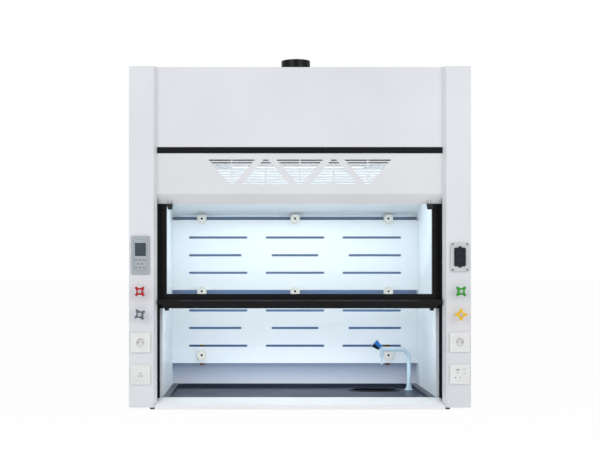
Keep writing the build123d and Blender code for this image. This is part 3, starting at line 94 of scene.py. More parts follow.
def measure(tree, operation, *values, vector=False):
    """Result of one operation on the values, each of them a socket, a number or a direction."""
    step = tree.nodes.new("ShaderNodeVectorMath" if vector else "ShaderNodeMath")
    step.operation = operation
    for number, value in enumerate(values):
        if isinstance(value, bpy.types.NodeSocket):
            tree.links.new(value, step.inputs[number])
        else:
            step.inputs[number].default_value = value
    gives_number = not vector or operation in ("DOT_PRODUCT", "LENGTH")
    return step.outputs["Value" if gives_number else "Vector"]


soft_lamp("left_softbox", (-3.2, -4.6, 2.4), (0, 0, 0.7), 2.4, 2.4, 62)
soft_lamp("right_softbox", (3.4, -4.4, 2.2), (0, 0, 0.7), 2.4, 2.4, 56)
soft_lamp("top_softbox", (0, 0.4, 4.6), (0, 0, 0), 3.0, 3.0, 40)

surround = bpy.data.worlds.new("surround")
bpy.context.scene.world = surround
surround.use_nodes = True
sky = surround.node_tree
sky.nodes.clear()
ray = sky.nodes.new("ShaderNodeLightPath")
seen_white = sky.nodes.new("ShaderNodeBackground")
seen_white.inputs["Color"].default_value = (1, 1, 1, 1)
fill = sky.nodes.new("ShaderNodeBackground")
fill.inputs["Color"].default_value = (0.95, 0.97, 1.0, 1)
fill.inputs["Strength"].default_value = 0.66
pick = sky.nodes.new("ShaderNodeMixShader")
sky_out = sky.nodes.new("ShaderNodeOutputWorld")
seen = measure(sky, "MAXIMUM", ray.outputs["Is Camera Ray"], ray.outputs["Is Transmission Ray"])
sky.links.new(seen, pick.inputs[0])
sky.links.new(fill.outputs[0], pick.inputs[1])
sky.links.new(seen_white.outputs[0], pick.inputs[2])
sky.links.new(pick.outputs[0], sky_out.inputs["Surface"])

floor_side = 60
floor_front = -30
floor_back = 90
floor_mesh = bpy.data.meshes.new("studio_floor")
floor_corners = [(-floor_side, floor_front, 0), (floor_side, floor_front, 0),
                 (floor_side, floor_back, 0), (-floor_side, floor_back, 0)]
floor_mesh.from_pydata(floor_corners, [], [(0, 1, 2, 3)])
studio_floor = bpy.data.objects.new("studio_floor", floor_mesh)
bpy.context.scene.collection.objects.link(studio_floor)
floor_paint = bpy.data.materials.new("studio_floor")
floor_paint.use_nodes = True
floor_tree = floor_paint.node_tree
floor_shader = floor_tree.nodes["Principled BSDF"]
floor_shader.inputs["Base Color"].default_value = (0.92, 0.92, 0.92, 1)
floor_shader.inputs["Roughness"].default_value = 0.9
glow = floor_tree.nodes.new("ShaderNodeEmission")
glow.inputs["Color"].default_value = (1, 1, 1, 1)
floor_ray = floor_tree.nodes.new("ShaderNodeLightPath")
glow_share = measure(floor_tree, "MULTIPLY", floor_ray.outputs["Is Camera Ray"], 0.95)
floor_mix = floor_tree.nodes.new("ShaderNodeMixShader")
floor_tree.links.new(glow_share, floor_mix.inputs[0])
floor_tree.links.new(floor_shader.outputs[0], floor_mix.inputs[1])
floor_tree.links.new(glow.outputs[0], floor_mix.inputs[2])
floor_tree.links.new(floor_mix.outputs[0], floor_tree.nodes["Material Output"].inputs["Surface"])
floor_mesh.materials.append(floor_paint)


# Base frame. A steel plate with two side rails, welded and dipped in dark paint,
# dusty where feet and mops have reached it.
def ranged(tree, value, low, high, new_low, new_high):
    """The value as it runs from low to high, drawn out to run from new_low to new_high."""
    span = tree.nodes.new("ShaderNodeMapRange")
    for name, number in (("From Min", low), ("From Max", high), ("To Min", new_low), ("To Max", new_high)):
        span.inputs[name].default_value = number
    tree.links.new(value, span.inputs["Value"])
    return span.outputs["Result"]


def laid_over(tree, share, under, over, blend_type="MIX"):
    """The colour under, with the colour over laid on it where share says."""
    mix = tree.nodes.new("ShaderNodeMix")
    mix.data_type = "RGBA"
    mix.blend_type = blend_type
    mix.inputs[7].default_value = over
    tree.links.new(share, mix.inputs[0])
    tree.links.new(under, mix.inputs[6])
    return mix.outputs[2]


def finish(name, main, second, roughness, patch=5.0, grain=500.0, rise=0.00004, edge=0.0007,
           edge_wear_and_highlight=None, metallic=0.0, stretch=(1, 1, 1), coat=0.0, shine=0.5):
    """A surface whose colour drifts from main to second, with a fine grain and softened edges. Where an
    edge colour is given, it is laid on the rounded edges as wear and as painted highlight.
    """
    surface = bpy.data.materials.new(name)
    surface.use_nodes = True
    tree = surface.node_tree
    shader = tree.nodes["Principled BSDF"]
    shader.inputs["Metallic"].default_value = metallic
    shader.inputs["Specular IOR Level"].default_value = shine
    shader.inputs["Coat Weight"].default_value = coat
    shader.inputs["Coat Roughness"].default_value = 0.12
    place = tree.nodes.new("ShaderNodeTexCoord")
    spread = tree.nodes.new("ShaderNodeMapping")
    spread.inputs["Scale"].default_value = stretch
    tree.links.new(place.outputs["Object"], spread.inputs["Vector"])
    drift = tree.nodes.new("ShaderNodeTexNoise")
    drift.inputs["Scale"].default_value = patch
    drift.inputs["Detail"].default_value = 4.0
    fine = tree.nodes.new("ShaderNodeTexNoise")
    fine.inputs["Scale"].default_value = grain
    fine.inputs["Detail"].default_value = 3.0
    for noise in (drift, fine):
        tree.links.new(spread.outputs["Vector"], noise.inputs["Vector"])
    ramp = tree.nodes.new("ShaderNodeValToRGB")
    ramp.color_ramp.elements[0].position = 0.32
    ramp.color_ramp.elements[0].color = main
    ramp.color_ramp.elements[1].position = 0.7
    ramp.color_ramp.elements[1].color = second
    tree.links.new(drift.outputs["Fac"], ramp.inputs["Fac"])
    dullness = ranged(tree, drift.outputs["Fac"], 0, 1, roughness * 0.82, roughness * 1.22)
    tree.links.new(dullness, shader.inputs["Roughness"])
    rounded = tree.nodes.new("ShaderNodeBevel")
    rounded.samples = 4
    rounded.inputs["Radius"].default_value = edge
    bump = tree.nodes.new("ShaderNodeBump")
    bump.inputs["Distance"].default_value = rise
    bump.inputs["Strength"].default_value = 0.6
    tree.links.new(fine.outputs["Fac"], bump.inputs["Height"])
    tree.links.new(rounded.outputs["Normal"], bump.inputs["Normal"])
    tree.links.new(bump.outputs["Normal"], shader.inputs["Normal"])
    colour = ramp.outputs["Color"]
    # Rounded edges take the lighter edge colour: partly wear, partly painted highlight where the edges
    # catch the light.
    if edge_wear_and_highlight is not None:
        facet = tree.nodes.new("ShaderNodeNewGeometry").outputs["True Normal"]
        turn = measure(tree, "DOT_PRODUCT", facet, rounded.outputs["Normal"], vector=True)
        edge_wear_and_highlight_share = ranged(tree, turn, 0.995, 0.9, 0, 0.75)
        colour = laid_over(tree, edge_wear_and_highlight_share, colour, edge_wear_and_highlight)
    tree.links.new(colour, shader.inputs["Base Color"])
    return surface


def dress(surface, *names):
    """Give these CAD pieces that surface, in place of the plain one they come with."""
    for name in names:
        node[name].data.materials.clear()
        node[name].data.materials.append(surface)


# Its edges are painted lighter, as wear and as painted highlight.
dark_dip = finish("dark_dip", tone(42, 42, 45), tone(64, 62, 60), 0.55, patch=9, edge_wear_and_highlight=tone(110, 106, 100))
dress(dark_dip, "base_frame")


# Outer shell. Posts, sides, back, roof and the upper panel are folded steel sheet with a
# white powder coat, which has a faint orange peel; along the folds it is painted slightly bright, as
# painted highlight.
powder_white = finish("powder_white", tone(226, 227, 230), tone(218, 219, 222), 0.36, patch=2.2,
                      grain=420, rise=0.00006, edge_wear_and_highlight=tone(238, 240, 244))
dress(powder_white, "side_panel_left", "side_panel_right", "back_panel", "roof_panel",
      "post_left", "post_right", "upper_front_panel")


# Trim strip. A satin black plastic extrusion, drawn lengthwise and pressed into the joint
# between the upper front panel and the grille panel.
# Its edges are painted lighter, as wear and as painted highlight.
satin_black = finish("satin_black", tone(17, 19, 23), tone(12, 14, 17), 0.5, patch=12, grain=300,
                     stretch=(0.15, 1, 1), edge_wear_and_highlight=tone(34, 38, 44), shine=0.16)
dress(satin_black, "trim_strip")


# Grille panel. The same coated sheet, laser cut with five triangles of slots, folded under
# at its lower edge.
grille_white = finish("grille_white", tone(224, 225, 227), tone(217, 217, 218), 0.36, patch=2.6,
                      grain=420, rise=0.00006, edge=0.0005)
dress(grille_white, "grille_panel")


# Sill. Coated sheet folded into an air foil in front of the worktop, rubbed smooth by
# forearms along its top.
# Its edges are painted lighter, as wear and as painted highlight.
sill_white = finish("sill_white", tone(241, 241, 241), tone(235, 235, 236), 0.34, patch=3.5, grain=420,
                    rise=0.00005, edge_wear_and_highlight=tone(246, 248, 250))
dress(sill_white, "sill")


# Side liners, ceiling and access covers. Smooth white laminate on board, which takes a blue
# cast from the chamber's lamp.
laminate = finish("laminate", tone(238, 244, 247), tone(232, 239, 244), 0.42, patch=1.2, grain=250,
                  rise=0.00002, edge=0.0012, shine=0.3)
dress(laminate, "inner_liner_left", "inner_liner_right", "ceiling_liner", "access_covers")


# Rear liner. The same laminate in a cooler white. Its foot, below the baffles, is pale, and from
# there upwards it is painted darker and blue-grey, as painted shade where it lies behind the baffles.
def opened(surface):
    """The tree of a surface made by finish, its shader, its colour so far and the spot on the piece."""
    tree = surface.node_tree
    shader = tree.nodes["Principled BSDF"]
    colour = shader.inputs["Base Color"].links[0].from_socket
    spot = tree.nodes.new("ShaderNodeTexCoord").outputs["Object"]
    return tree, shader, colour, spot


def coordinate(tree, spot, letter):
    """One coordinate of the spot: X to the right, Y to the back or Z upwards."""
    parts = tree.nodes.new("ShaderNodeSeparateXYZ")
    tree.links.new(spot, parts.inputs[0])
    return parts.outputs[letter]


shade_start = 0.04
shade_full = 0.19
back_laminate = finish("back_laminate", tone(234, 236, 244), tone(228, 231, 240), 0.4, patch=1.5,
                       grain=250, rise=0.00002, shine=0.3)
tree, shader, colour, spot = opened(back_laminate)
painted_shade = ranged(tree, coordinate(tree, spot, "Z"), shade_start, shade_full, 0, 1)
shaded_colour = laid_over(tree, painted_shade, colour, tone(116, 138, 168), "MULTIPLY")
tree.links.new(shaded_colour, shader.inputs["Base Color"])
dress(back_laminate, "rear_liner")


# Baffles. Boards of the same laminate, each cut with rows of round-ended slots, clamped in
# front of the rear liner with gaps between them.
# Their edges are painted near white, a painted highlight along the slots and the board edges.
baffle_board = finish("baffle_board", tone(234, 238, 241), tone(229, 234, 238), 0.38, patch=1.6, grain=250,
                      rise=0.00002, edge=0.0012, edge_wear_and_highlight=tone(252, 254, 255))
dress(baffle_board, "lower_baffle", "middle_baffle", "upper_baffle")


# Baffle brackets. Folded strip behind the boards, which holds them off the rear liner, with a
# dull passivated finish gone brown.
# Its edges are painted lighter, as wear and as painted highlight.
brown_strip = finish("brown_strip", tone(140, 108, 70), tone(96, 74, 52), 0.5, patch=30, metallic=0.8,
                     edge_wear_and_highlight=tone(170, 140, 100))
dress(brown_strip, "baffle_brackets")


# Baffle knobs. Cream plastic mouldings with a scalloped rim, screwed on to clamp the boards
# to their brackets.
cream_moulding = finish("cream_moulding", tone(236, 233, 223), tone(222, 218, 207), 0.42, patch=25,
                        grain=700, rise=0.00005, edge=0.0016)
dress(cream_moulding, "baffle_knobs")


# Knob bores. A near-black disc sits just inside the mouth of each baffle knob's bore, painted
# shade for the dark inside of the hole, with a thin raised pale ring about it.
def loop_of(shape, sides, radius, place):
    """Loop of points in a bmesh. place turns a point's two offsets from the middle into its spot."""
    loop = []
    for step in range(sides):
        part = 2 * math.pi * step / sides
        loop.append(shape.verts.new(place(radius * math.cos(part), radius * math.sin(part))))
    return loop


def skin(shape, loops):
    """Faces from each loop to the next."""
    for one, two in zip(loops, loops[1:]):
        for step in range(len(one)):
            after = (step + 1) % len(one)
            shape.faces.new((one[step], one[after], two[after], two[step]))


def add_ring(shape, x, z, inner, outer, back, front, sides=28):
    """A flat ring in a bmesh that faces the user, from the depth back to the depth front."""
    loops = []
    for radius, y in ((inner, back), (inner, front), (outer, front), (outer, back)):
        loops.append(loop_of(shape, sides, radius, lambda across, up: (x + across, y, z + up)))
    skin(shape, loops + loops[:1])


def add_disc(shape, x, z, radius, depth, sides=28):
    """A flat disc in a bmesh that faces the user."""
    shape.faces.new(loop_of(shape, sides, radius, lambda across, up: (x + across, depth, z + up)))


def small_piece(name, shape, surface, body, smooth=False):
    """Turn a bmesh into a piece of the hood that rides on a body."""
    bmesh.ops.recalc_face_normals(shape, faces=shape.faces)
    mesh = bpy.data.meshes.new(name)
    shape.to_mesh(mesh)
    shape.free()
    mesh.materials.append(surface)
    if smooth:
        mesh.shade_smooth()
        mesh.set_sharp_from_angle(angle=math.radians(35))
    piece = bpy.data.objects.new(name, mesh)
    bpy.context.scene.collection.objects.link(piece)
    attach(piece, body)
    return piece


# Sizes of a knob's face, and the height of the middle row of knobs.
knob_radius = 0.024
middle_row = 0.507
bore_radius = 0.0057
bore_depth = 0.0012
ring_inner = 0.0064
ring_outer = 0.0092
ring_sunk = 0.0004
ring_raised = 0.0006
knob_low, knob_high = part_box("baffle_knobs")
knob_x = knob_high.x - knob_radius
top_row = knob_high.z - knob_radius
bottom_row = knob_low.z + knob_radius
knob_places = [(x, z) for z in (top_row, middle_row) for x in (-knob_x, 0, knob_x)]
knob_places += [(-knob_x, bottom_row), (knob_x, bottom_row)]
painted_bore_shade = finish("painted_bore_shade", tone(6, 6, 7), tone(3, 3, 4), 0.8, patch=60, grain=900)
shape = bmesh.new()
for x, z in knob_places:
    add_disc(shape, x, z, bore_radius, knob_low.y + bore_depth)
small_piece("knob_bore_shades", shape, painted_bore_shade, "cabinet")
ring_cream = finish("ring_cream", tone(248, 248, 244), tone(240, 239, 232), 0.35, patch=40)
shape = bmesh.new()
for x, z in knob_places:
    add_ring(shape, x, z, ring_inner, ring_outer, knob_low.y + ring_sunk, knob_low.y - ring_raised)
small_piece("knob_rings", shape, ring_cream, "cabinet")


# Worktop. A slab cast in resin with a raised rim, honed matt, dark blue-grey with a fine
# mineral speckle, laid on the base frame.
# Its edges are painted lighter, as wear and as painted highlight.
resin = finish("resin", tone(34, 44, 58), tone(28, 37, 50), 0.32, patch=3.0, grain=900, rise=0.00006,
               edge=0.0016, edge_wear_and_highlight=tone(60, 72, 90), shine=0.35)
dress(resin, "worktop")


# Cup sink. An oval black moulding, satin inside, dropped into its cutout in the worktop and
# held there by its flange.
# Its edges are painted lighter, as wear and as painted highlight.
sink_black = finish("sink_black", tone(5, 6, 8), tone(3, 4, 5), 0.35, patch=14, grain=300,
                    edge=0.0018, edge_wear_and_highlight=tone(60, 66, 76), shine=0.12)
dress(sink_black, "cup_sink")


# Sash guides. Black plastic extrusions fixed behind the posts, polished lengthwise where the
# sash has run on them.
# Their edges are painted lighter, as that wear and as painted highlight.
guide_black = finish("guide_black", tone(10, 11, 13), tone(7, 8, 9), 0.5, patch=10, grain=300,
                     stretch=(1, 1, 0.1), edge_wear_and_highlight=tone(24, 26, 30), shine=0.1)
dress(guide_black, "sash_guides")


# Sash frame. Hollow aluminium extrusions, powder coated black and joined at the corners, with
# a full-width ledge to lift the sash by.
# The frame's edges are painted lighter grey, a painted highlight where they catch the light.
frame_black = finish("frame_black", tone(12, 13, 15), tone(8, 9, 11), 0.42, patch=7, grain=350,
                     rise=0.00003, stretch=(0.3, 1, 1), edge_wear_and_highlight=tone(66, 70, 78), shine=0.2)
dress(frame_black, "sash_stile_left", "sash_stile_right", "sash_bottom_rail", "sash_top_rail")


# Ledge highlight. A thin light grey strip along the front edge of the sash's ledge, a painted
# highlight where that edge catches the light, uneven along its length.
def bars(name, surface, marks, depth, body):
    """Thin bars at one depth, each given by its centre, width and height."""
    shape = bmesh.new()
    for x, z, width, height in marks:
        corners = []
        for a, b in ((-1, -1), (1, -1), (1, 1), (-1, 1)):
            corners.append(shape.verts.new((x + a * width / 2, depth, z + b * height / 2)))
        shape.faces.new(corners)
    small_piece(name, shape, surface, body)


print_gap = 0.0001
ledge_edge = 0.4762
ledge_length = 1.06
ledge_width = 0.0016
rail_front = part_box("sash_bottom_rail")[0].y
painted_ledge_highlight = finish("painted_ledge_highlight", tone(98, 102, 108), tone(52, 55, 60), 0.35, patch=6, shine=0.4)
bars("painted_ledge_highlight", painted_ledge_highlight, [(0, ledge_edge, ledge_length, ledge_width)], rail_front - print_gap,
     "sash")


# Sash glass. One toughened pane set in the frame, clear with a faint green edge and a trace
# of wiping.
pane = bpy.data.materials.new("toughened_pane")
pane.use_nodes = True
pane_tree = pane.node_tree
pane_shader = pane_tree.nodes["Principled BSDF"]
pane_shader.inputs["Base Color"].default_value = (0.985, 0.995, 0.99, 1)
pane_shader.inputs["Transmission Weight"].default_value = 1.0
pane_shader.inputs["IOR"].default_value = 1.45
wipe_place = pane_tree.nodes.new("ShaderNodeTexCoord")
wipe = pane_tree.nodes.new("ShaderNodeTexNoise")
wipe.inputs["Scale"].default_value = 3.0
wipe.inputs["Detail"].default_value = 6.0
pane_tree.links.new(wipe_place.outputs["Object"], wipe.inputs["Vector"])
haze = ranged(pane_tree, wipe.outputs["Fac"], 0, 1, 0, 0.03)
pane_tree.links.new(haze, pane_shader.inputs["Roughness"])
dress(pane, "sash_glass")


# Sash bumpers. Black rubber feet fixed under the bottom rail, matt and dusty, which take the
# knock when the sash is let down.
rubber = finish("rubber", tone(26, 26, 27), tone(36, 35, 34), 0.7, patch=40, grain=900, rise=0.00008,
                edge=0.0012)
dress(rubber, "sash_bumpers")


# Header stops. Tapered buttons of the same rubber that the rising sash meets under the lip,
# each on a white stud that hangs from it.
def turned(shape, centre, outline, base=0, sides=32):
    """A closed form turned about an upright line, from points of a radius and a height above base."""
    loops = []
    for radius, rise in outline:
        height = base + rise
        loops.append(loop_of(shape, sides, radius, lambda a, b: (centre[0] + a, centre[1] + b, height)))
    skin(shape, loops)
    shape.faces.new(loops[0][::-1])
    shape.faces.new(loops[-1])


stop_radius = 0.0135
stop_height = 0.0235
stop_outline = ((0.009, 0), (0.01, 0.001), (stop_radius, stop_height), (0.0125, stop_height + 0.0015),
                (0.004, stop_height + 0.002))
stud_radius = 0.003
stud_length = 0.0195
stop_low, stop_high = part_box("header_stops")
for side, word in ((-1, "left"), (1, "right")):
    centre = (side * (stop_high.x - stop_radius), (stop_low.y + stop_high.y) / 2)
    shape = bmesh.new()
    turned(shape, centre, stop_outline, base=stop_low.z)
    stop = small_piece("header_stop_" + word, shape, rubber, "cabinet", smooth=True)
    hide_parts("header_stops")
    shape = bmesh.new()
    turned(shape, centre, ((stud_radius, 0), (stud_radius, stud_length)), base=stop_low.z + stop_height)
    small_piece("header_stud_" + word, shape, grille_white, "cabinet", smooth=True)


# Counterweights. Iron castings with a rough skin under grey paint, one hung on its cable
# between each side panel and its liner, to balance the sash.
cast_iron = finish("cast_iron", tone(74, 74, 72), tone(94, 88, 80), 0.62, patch=14, grain=160, rise=0.0004,
                   metallic=0.6, edge=0.0015)
dress(cast_iron, "counterweight_left", "counterweight_right")


# Pulleys. Turned from white acetal, with the grooves stained grey by the rope, two on each
# side of the header.
acetal = finish("acetal", tone(226, 226, 218), tone(198, 197, 190), 0.35, patch=50, grain=500)
dress(acetal, "front_pulleys", "rear_pulleys")


# Brackets, axles, lamp tray and screws. Zinc plated steel with the usual soft spangle, folded
# or turned, and screws blackened where they show on the breaker's plate.
zinc = finish("zinc", tone(176, 178, 180), tone(150, 153, 158), 0.38, patch=45, grain=300, metallic=0.9)
dress(zinc, "pulley_brackets", "pulley_axles", "lamp_housing")
dark_screw = finish("dark_screw", tone(72, 74, 76), tone(54, 56, 58), 0.45, patch=90, grain=700)
dress(dark_screw, "plate_screws")


# Sash cables. Six strands of steel wire laid round each other. The upright runs are drawn
# here.
rope_steel = finish("rope_steel", tone(150, 150, 152), tone(112, 110, 108), 0.4, patch=60, grain=900,
                    metallic=0.9)
dress(rope_steel, "cable_top_runs")
strand_count = 6
strand_sides = 5
strand_share = 0.33
lay_length = 0.024
rows_per_lay = 10


def rope_run(name, run_node, side):
    """One upright run of rope inside its CAD rod."""
    low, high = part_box(run_node)
    rope_radius = (high.y - low.y) / 2
    centre_x = side * (high.x - rope_radius)
    centre_y = (low.y + high.y) / 2
    strand = rope_radius * strand_share
    rows = int((high.z - low.z) / lay_length * rows_per_lay)
    shape = bmesh.new()
    for number in range(strand_count):
        loops = []
        for row in range(rows + 1):
            z = low.z + (high.z - low.z) * row / rows
            angle = 2 * math.pi * (number / strand_count + (z - low.z) / lay_length)
            x = centre_x + (rope_radius - strand) * math.cos(angle)
            y = centre_y + (rope_radius - strand) * math.sin(angle)
            loops.append(loop_of(shape, strand_sides, strand, lambda a, b: (x + a, y + b, z)))
        skin(shape, loops)
        shape.faces.new(loops[0][::-1])
        shape.faces.new(loops[-1])
    mesh = bpy.data.meshes.new(name)
    shape.to_mesh(mesh)
    shape.free()
    mesh.materials.append(rope_steel)
    mesh.shade_smooth()
    rope = bpy.data.objects.new(name, mesh)
    bpy.context.scene.collection.objects.link(rope)
    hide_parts(run_node)
    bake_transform(rope)


for side, word in ((-1, "left"), (1, "right")):
    rope_run("cable_front_" + word, "cable_front_runs", side)
    rope_run("cable_rear_" + word, "cable_rear_runs", side)


# Exhaust collar. A glossy black moulded pipe end that stands on the roof by its flange, over
# the duct from the chamber's ceiling, a little dusty on top.
# Its edges are painted lighter, as wear and as painted highlight.
collar_black = finish("collar_black", tone(8, 9, 10), tone(13, 14, 15), 0.34, patch=10, grain=200,
                      rise=0.00002, edge=0.0015, edge_wear_and_highlight=tone(30, 33, 36), shine=0.2)
dress(collar_black, "exhaust_collar")


# Lamp. An opal diffuser lit from inside the tray. It throws a cold white light over the
# chamber, whose white liners and sill throw it on to the worktop and the ceiling, and a bluer
# one through the slots on to the rear liner.
opal = finish("opal", tone(248, 250, 255), tone(238, 244, 252), 0.4, patch=3, grain=300, rise=0.00003)
opal_shader = opal.node_tree.nodes["Principled BSDF"]
opal_shader.inputs["Emission Color"].default_value = (0.9, 0.96, 1.0, 1)
opal_shader.inputs["Emission Strength"].default_value = 1.1
dress(opal, "lamp_diffuser")
lens_low, lens_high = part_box("lamp_diffuser")
lens_middle = (lens_low + lens_high) / 2
lens_gap = 0.004
lamp_tip = 0.12
below_lens = (lens_middle.x, lens_middle.y, lens_low.z - lens_gap)
soft_lamp("chamber_light", below_lens, (lens_middle.x, lens_middle.y + lamp_tip, 0), 1.05, 0.09, 3.8,
          (0.84, 0.94, 1.0), inside=True)
soft_lamp("chamber_bounce", (0, -0.33, 0.36), (0, 0.3, 0.2), 1.15, 0.25, 0.85, (0.82, 0.93, 1.0),
          inside=True)
soft_lamp("worktop_bounce", (0, 0.1, 0.12), (0, 0.45, 0.12), 1.1, 0.06, 0.6, (0.82, 0.9, 1.0),
          inside=True)
soft_lamp("ceiling_bounce", (0, -0.02, 0.6), (0, 0.1, 1.0), 1.1, 0.3, 0.9, (0.8, 0.92, 1.0),
          inside=True)
board_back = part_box("middle_baffle")[1].y
liner_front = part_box("rear_liner")[0].y
plenum_middle = 0.52
plenum_share = 0.3
behind = board_back + (liner_front - board_back) * plenum_share
soft_lamp("plenum_light", (0, behind, plenum_middle), (0, behind + 1, plenum_middle), 1.15, 0.72, 1.5,
          (0.5, 0.8, 1.0), inside=True)


# Controller. A grey moulded bezel set on the left post, with a dark window for the display
# and a membrane with plain key marks in rows of three, two and three.
controller_grey = finish("controller_grey", tone(172, 179, 183), tone(162, 170, 175), 0.42, patch=14,
                         grain=700, edge=0.0012)
dress(controller_grey, "controller_housing")
bezel_low, bezel_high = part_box("controller_housing")
panel_x = (bezel_low.x + bezel_high.x) / 2
panel_z = (bezel_low.z + bezel_high.z) / 2
key_rows = ((0.020, (-1, 0, 1)), (0.037, (-0.5, 0.5)), (0.054, (-1, 0, 1)))
key_pitch = 0.017
upright_bar = (-0.003, 0, 0.0026, 0.006)
flat_bar = (0.0022, -0.0016, 0.005, 0.0028)
key_marks = []
for drop, places in key_rows:
    for place in places:
        for across, up, width, height in (upright_bar, flat_bar):
            key_marks.append((panel_x + place * key_pitch + across, panel_z - drop + up, width, height))
key_ink = finish("key_ink", tone(40, 50, 64), tone(32, 42, 54), 0.5, patch=80, shine=0.2)
bars("key_marks", key_ink, key_marks, bezel_low.y - print_gap, "cabinet")
# Thin darker lines round the membrane, set just behind the bezel's face: painted shade in the groove at
# its edge.
edge_x = 0.0285
edge_z = 0.0675
line_width = 0.0012
panel_sunk = 0.0007
groove_marks = [(panel_x + side * edge_x, panel_z, line_width, 2 * edge_z) for side in (-1, 1)]
groove_marks += [(panel_x, panel_z + side * edge_z, 2 * edge_x, line_width) for side in (-1, 1)]
groove_shade = finish("groove_shade", tone(128, 136, 142), tone(118, 126, 132), 0.5, patch=80)
bars("panel_groove_shade", groove_shade, groove_marks, bezel_low.y + panel_sunk, "cabinet")
dark_window = finish("dark_window", tone(54, 66, 76), tone(44, 56, 66), 0.16, patch=20, grain=200,
                     rise=0.00001, coat=0.5)
dress(dark_window, "controller_screen")


# Breaker. A grey moulded plate and box screwed to the right post, with blue toggles under a
# smoked cover on a hinge.
plate_grey = finish("plate_grey", tone(202, 205, 205), tone(192, 196, 196), 0.42, patch=16, grain=700,
                    edge=0.0014)
dress(plate_grey, "breaker_plate")
toggle_blue = finish("toggle_blue", tone(84, 128, 214), tone(70, 112, 196), 0.35, patch=40, grain=500)
dress(toggle_blue, "breaker_toggles")
smoke = bpy.data.materials.new("smoked_cover")
smoke.use_nodes = True
smoke_tree = smoke.node_tree
smoke_shader = smoke_tree.nodes["Principled BSDF"]
smoke_shader.inputs["Alpha"].default_value = 0.66
smoke_shader.inputs["Roughness"].default_value = 0.14
smoke_shader.inputs["Specular IOR Level"].default_value = 0.35
smoke_place = smoke_tree.nodes.new("ShaderNodeTexCoord")
smoke_noise = smoke_tree.nodes.new("ShaderNodeTexNoise")
smoke_noise.inputs["Scale"].default_value = 30
smoke_colour = smoke_tree.nodes.new("ShaderNodeValToRGB")
smoke_colour.color_ramp.elements[0].color = tone(26, 31, 38)
smoke_colour.color_ramp.elements[1].color = tone(36, 42, 50)
smoke_tree.links.new(smoke_place.outputs["Object"], smoke_noise.inputs["Vector"])
smoke_tree.links.new(smoke_noise.outputs["Fac"], smoke_colour.inputs["Fac"])
smoke_tree.links.new(smoke_colour.outputs["Color"], smoke_shader.inputs["Base Color"])
dress(smoke, "breaker_flap")


# Service valves and escutcheons. Machined brass bodies fixed behind the posts, and white
# moulded rings that cover their holes in front.
machined_brass = finish("machined_brass", tone(196, 166, 100), tone(172, 142, 84), 0.32, patch=40,
                        grain=600, metallic=1.0, stretch=(1, 6, 1))
dress(machined_brass, "service_valves")
ring_white = finish("ring_white", tone(236, 238, 244), tone(226, 229, 236), 0.3, patch=30, edge=0.0014)
dress(ring_white, "valve_escutcheons")


# Service knobs. Four-lobed mouldings on the valves' spindles, each in its service's colour,
# with a pale disc snapped into the middle of its face and a small dark mark on that.
def away_from_axis(tree, spot, axis):
    """Distance of the spot from the line through axis that runs from front to back."""
    offset = measure(tree, "SUBTRACT", spot, axis, vector=True)
    flat = measure(tree, "MULTIPLY", offset, (1, 0, 1), vector=True)
    return measure(tree, "LENGTH", flat, vector=True)


disc_radius = 0.0076
mark_radius = 0.0027
disc_depth = 0.002
for knob_name, main, second in (
    ("red_knob", tone(186, 22, 30), tone(158, 16, 24)),
    ("grey_knob", tone(108, 114, 120), tone(88, 94, 99)),
    ("green_knob", tone(44, 158, 42), tone(34, 134, 34)),
    ("yellow_knob", tone(240, 196, 34), tone(224, 168, 26)),
):
    surface = finish(knob_name + "_moulding", main, second, 0.34, patch=40, grain=700, edge=0.0016)
    tree, shader, colour, spot = opened(surface)
    low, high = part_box(knob_name)
    distance = away_from_axis(tree, spot, ((low.x + high.x) / 2, 0, (low.z + high.z) / 2))
    at_front = measure(tree, "LESS_THAN", coordinate(tree, spot, "Y"), low.y + disc_depth)
    for radius, paint in ((disc_radius, tone(206, 212, 210)), (mark_radius, tone(58, 62, 68))):
        within = measure(tree, "LESS_THAN", distance, radius)
        colour = laid_over(tree, measure(tree, "MULTIPLY", within, at_front), colour, paint)
    tree.links.new(colour, shader.inputs["Base Color"])
    dress(surface, knob_name)


# Sockets. White mouldings screwed to the posts: two round recesses, two three-pin plates and
# one rocker. The insides of the pin holes are painted dark, as painted shade.
socket_white = finish("socket_white", tone(233, 233, 231), tone(226, 226, 224), 0.28, patch=12, grain=500,
                      rise=0.00002, edge=0.001)
dress(socket_white, "socket_rocker")
plate_half = 0.043
holes_reach = 0.027
for name, holes_start in (("round_sockets", 0.0149), ("pin_sockets", 0.0028)):
    surface = socket_white.copy()
    surface.name = name + "_white"
    tree, shader, colour, spot = opened(surface)
    low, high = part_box(name)
    middle_z = (low.z + high.z) / 2
    from_left = away_from_axis(tree, spot, (low.x + plate_half, 0, middle_z))
    from_right = away_from_axis(tree, spot, (high.x - plate_half, 0, middle_z))
    near_middle = measure(tree, "LESS_THAN", measure(tree, "MINIMUM", from_left, from_right), holes_reach)
    deep = measure(tree, "GREATER_THAN", coordinate(tree, spot, "Y"), low.y + holes_start)
    hole_shade = measure(tree, "MULTIPLY", near_middle, deep)
    tree.links.new(laid_over(tree, hole_shade, colour, tone(70, 62, 62)), shader.inputs["Base Color"])
    dress(surface, name)


# Tap. Brass pipework under a pale epoxy coat, screwed down on the worktop: flange, column,
# bent pipe, valve head and a barbed nozzle.
epoxy = finish("epoxy", tone(196, 216, 228), tone(184, 208, 222), 0.26, patch=18, grain=350, rise=0.00005,
               edge=0.001, coat=0.4)
dress(epoxy, "tap_body")
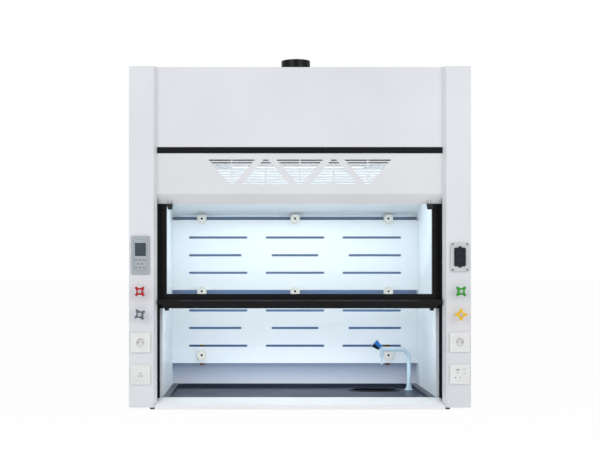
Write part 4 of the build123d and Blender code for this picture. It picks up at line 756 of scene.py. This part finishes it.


# Tap knob. A blue moulding on the valve's slanted spindle. Its lower side is painted near black,
# as painted shade under the lobes, and the edge of that shade is stepped like the top of a castle wall.
knob_blue = finish("knob_blue", tone(20, 122, 204), tone(12, 104, 184), 0.32, patch=50, grain=600,
                   edge=0.0014)
dress(knob_blue, "tap_knob")
tooth_length = 0.0045
tooth_height = 0.003
shade_drop = 0.0045
tilt = math.radians(49.5)
along = Vector((-math.sin(tilt), 0, math.cos(tilt)))
across = Vector((math.cos(tilt), 0, math.sin(tilt)))
tap_low, tap_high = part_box("tap_knob")
shade_line = ((tap_low + tap_high) / 2).dot(across) - shade_drop
tree, shader, colour, spot = opened(knob_blue)
place_along = measure(tree, "DOT_PRODUCT", spot, along, vector=True)
place_across = measure(tree, "DOT_PRODUCT", spot, across, vector=True)
wave = measure(tree, "PINGPONG", place_along, tooth_length)
teeth = measure(tree, "GREATER_THAN", wave, tooth_length / 2)
stepped_shade_line = measure(tree, "MULTIPLY_ADD", teeth, tooth_height, shade_line)
shaded_underside = measure(tree, "LESS_THAN", place_across, stepped_shade_line)
tree.links.new(laid_over(tree, shaded_underside, colour, tone(26, 29, 36)), shader.inputs["Base Color"])


# Tap fittings. A foot where the column screws into its flange, a dark washer under it, and
# the union nut and ring that hold the nozzle under the valve.
flange_radius = 0.0235
nozzle_x = 0.421
nut_top = 0.2092
washer_radius = 0.0242
washer_thickness = 0.0009
foot_outline = ((0.0146, 0.0045), (0.0143, 0.006), (0.0141, 0.0195), (0.0119, 0.0215))
nut_outline = ((0.0062, -0.022), (0.0074, -0.0215), (0.0088, -0.0125), (0.0105, -0.0118),
               (0.0105, -0.0088), (0.0092, -0.008), (0.0096, 0))
body_low, body_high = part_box("tap_body")
column = (body_high.x - flange_radius, (body_low.y + body_high.y) / 2)
nozzle = (nozzle_x, column[1])
shape = bmesh.new()
turned(shape, column, foot_outline, base=body_low.z)
small_piece("tap_foot", shape, epoxy, "cabinet", smooth=True)
shape = bmesh.new()
turned(shape, column, ((washer_radius, 0), (washer_radius, washer_thickness)), base=body_low.z)
small_piece("tap_washer", shape, rubber, "cabinet")
shape = bmesh.new()
turned(shape, nozzle, nut_outline, base=nut_top)
small_piece("tap_union", shape, epoxy, "cabinet", smooth=True)


bpy.context.scene.view_settings.view_transform = "Standard"
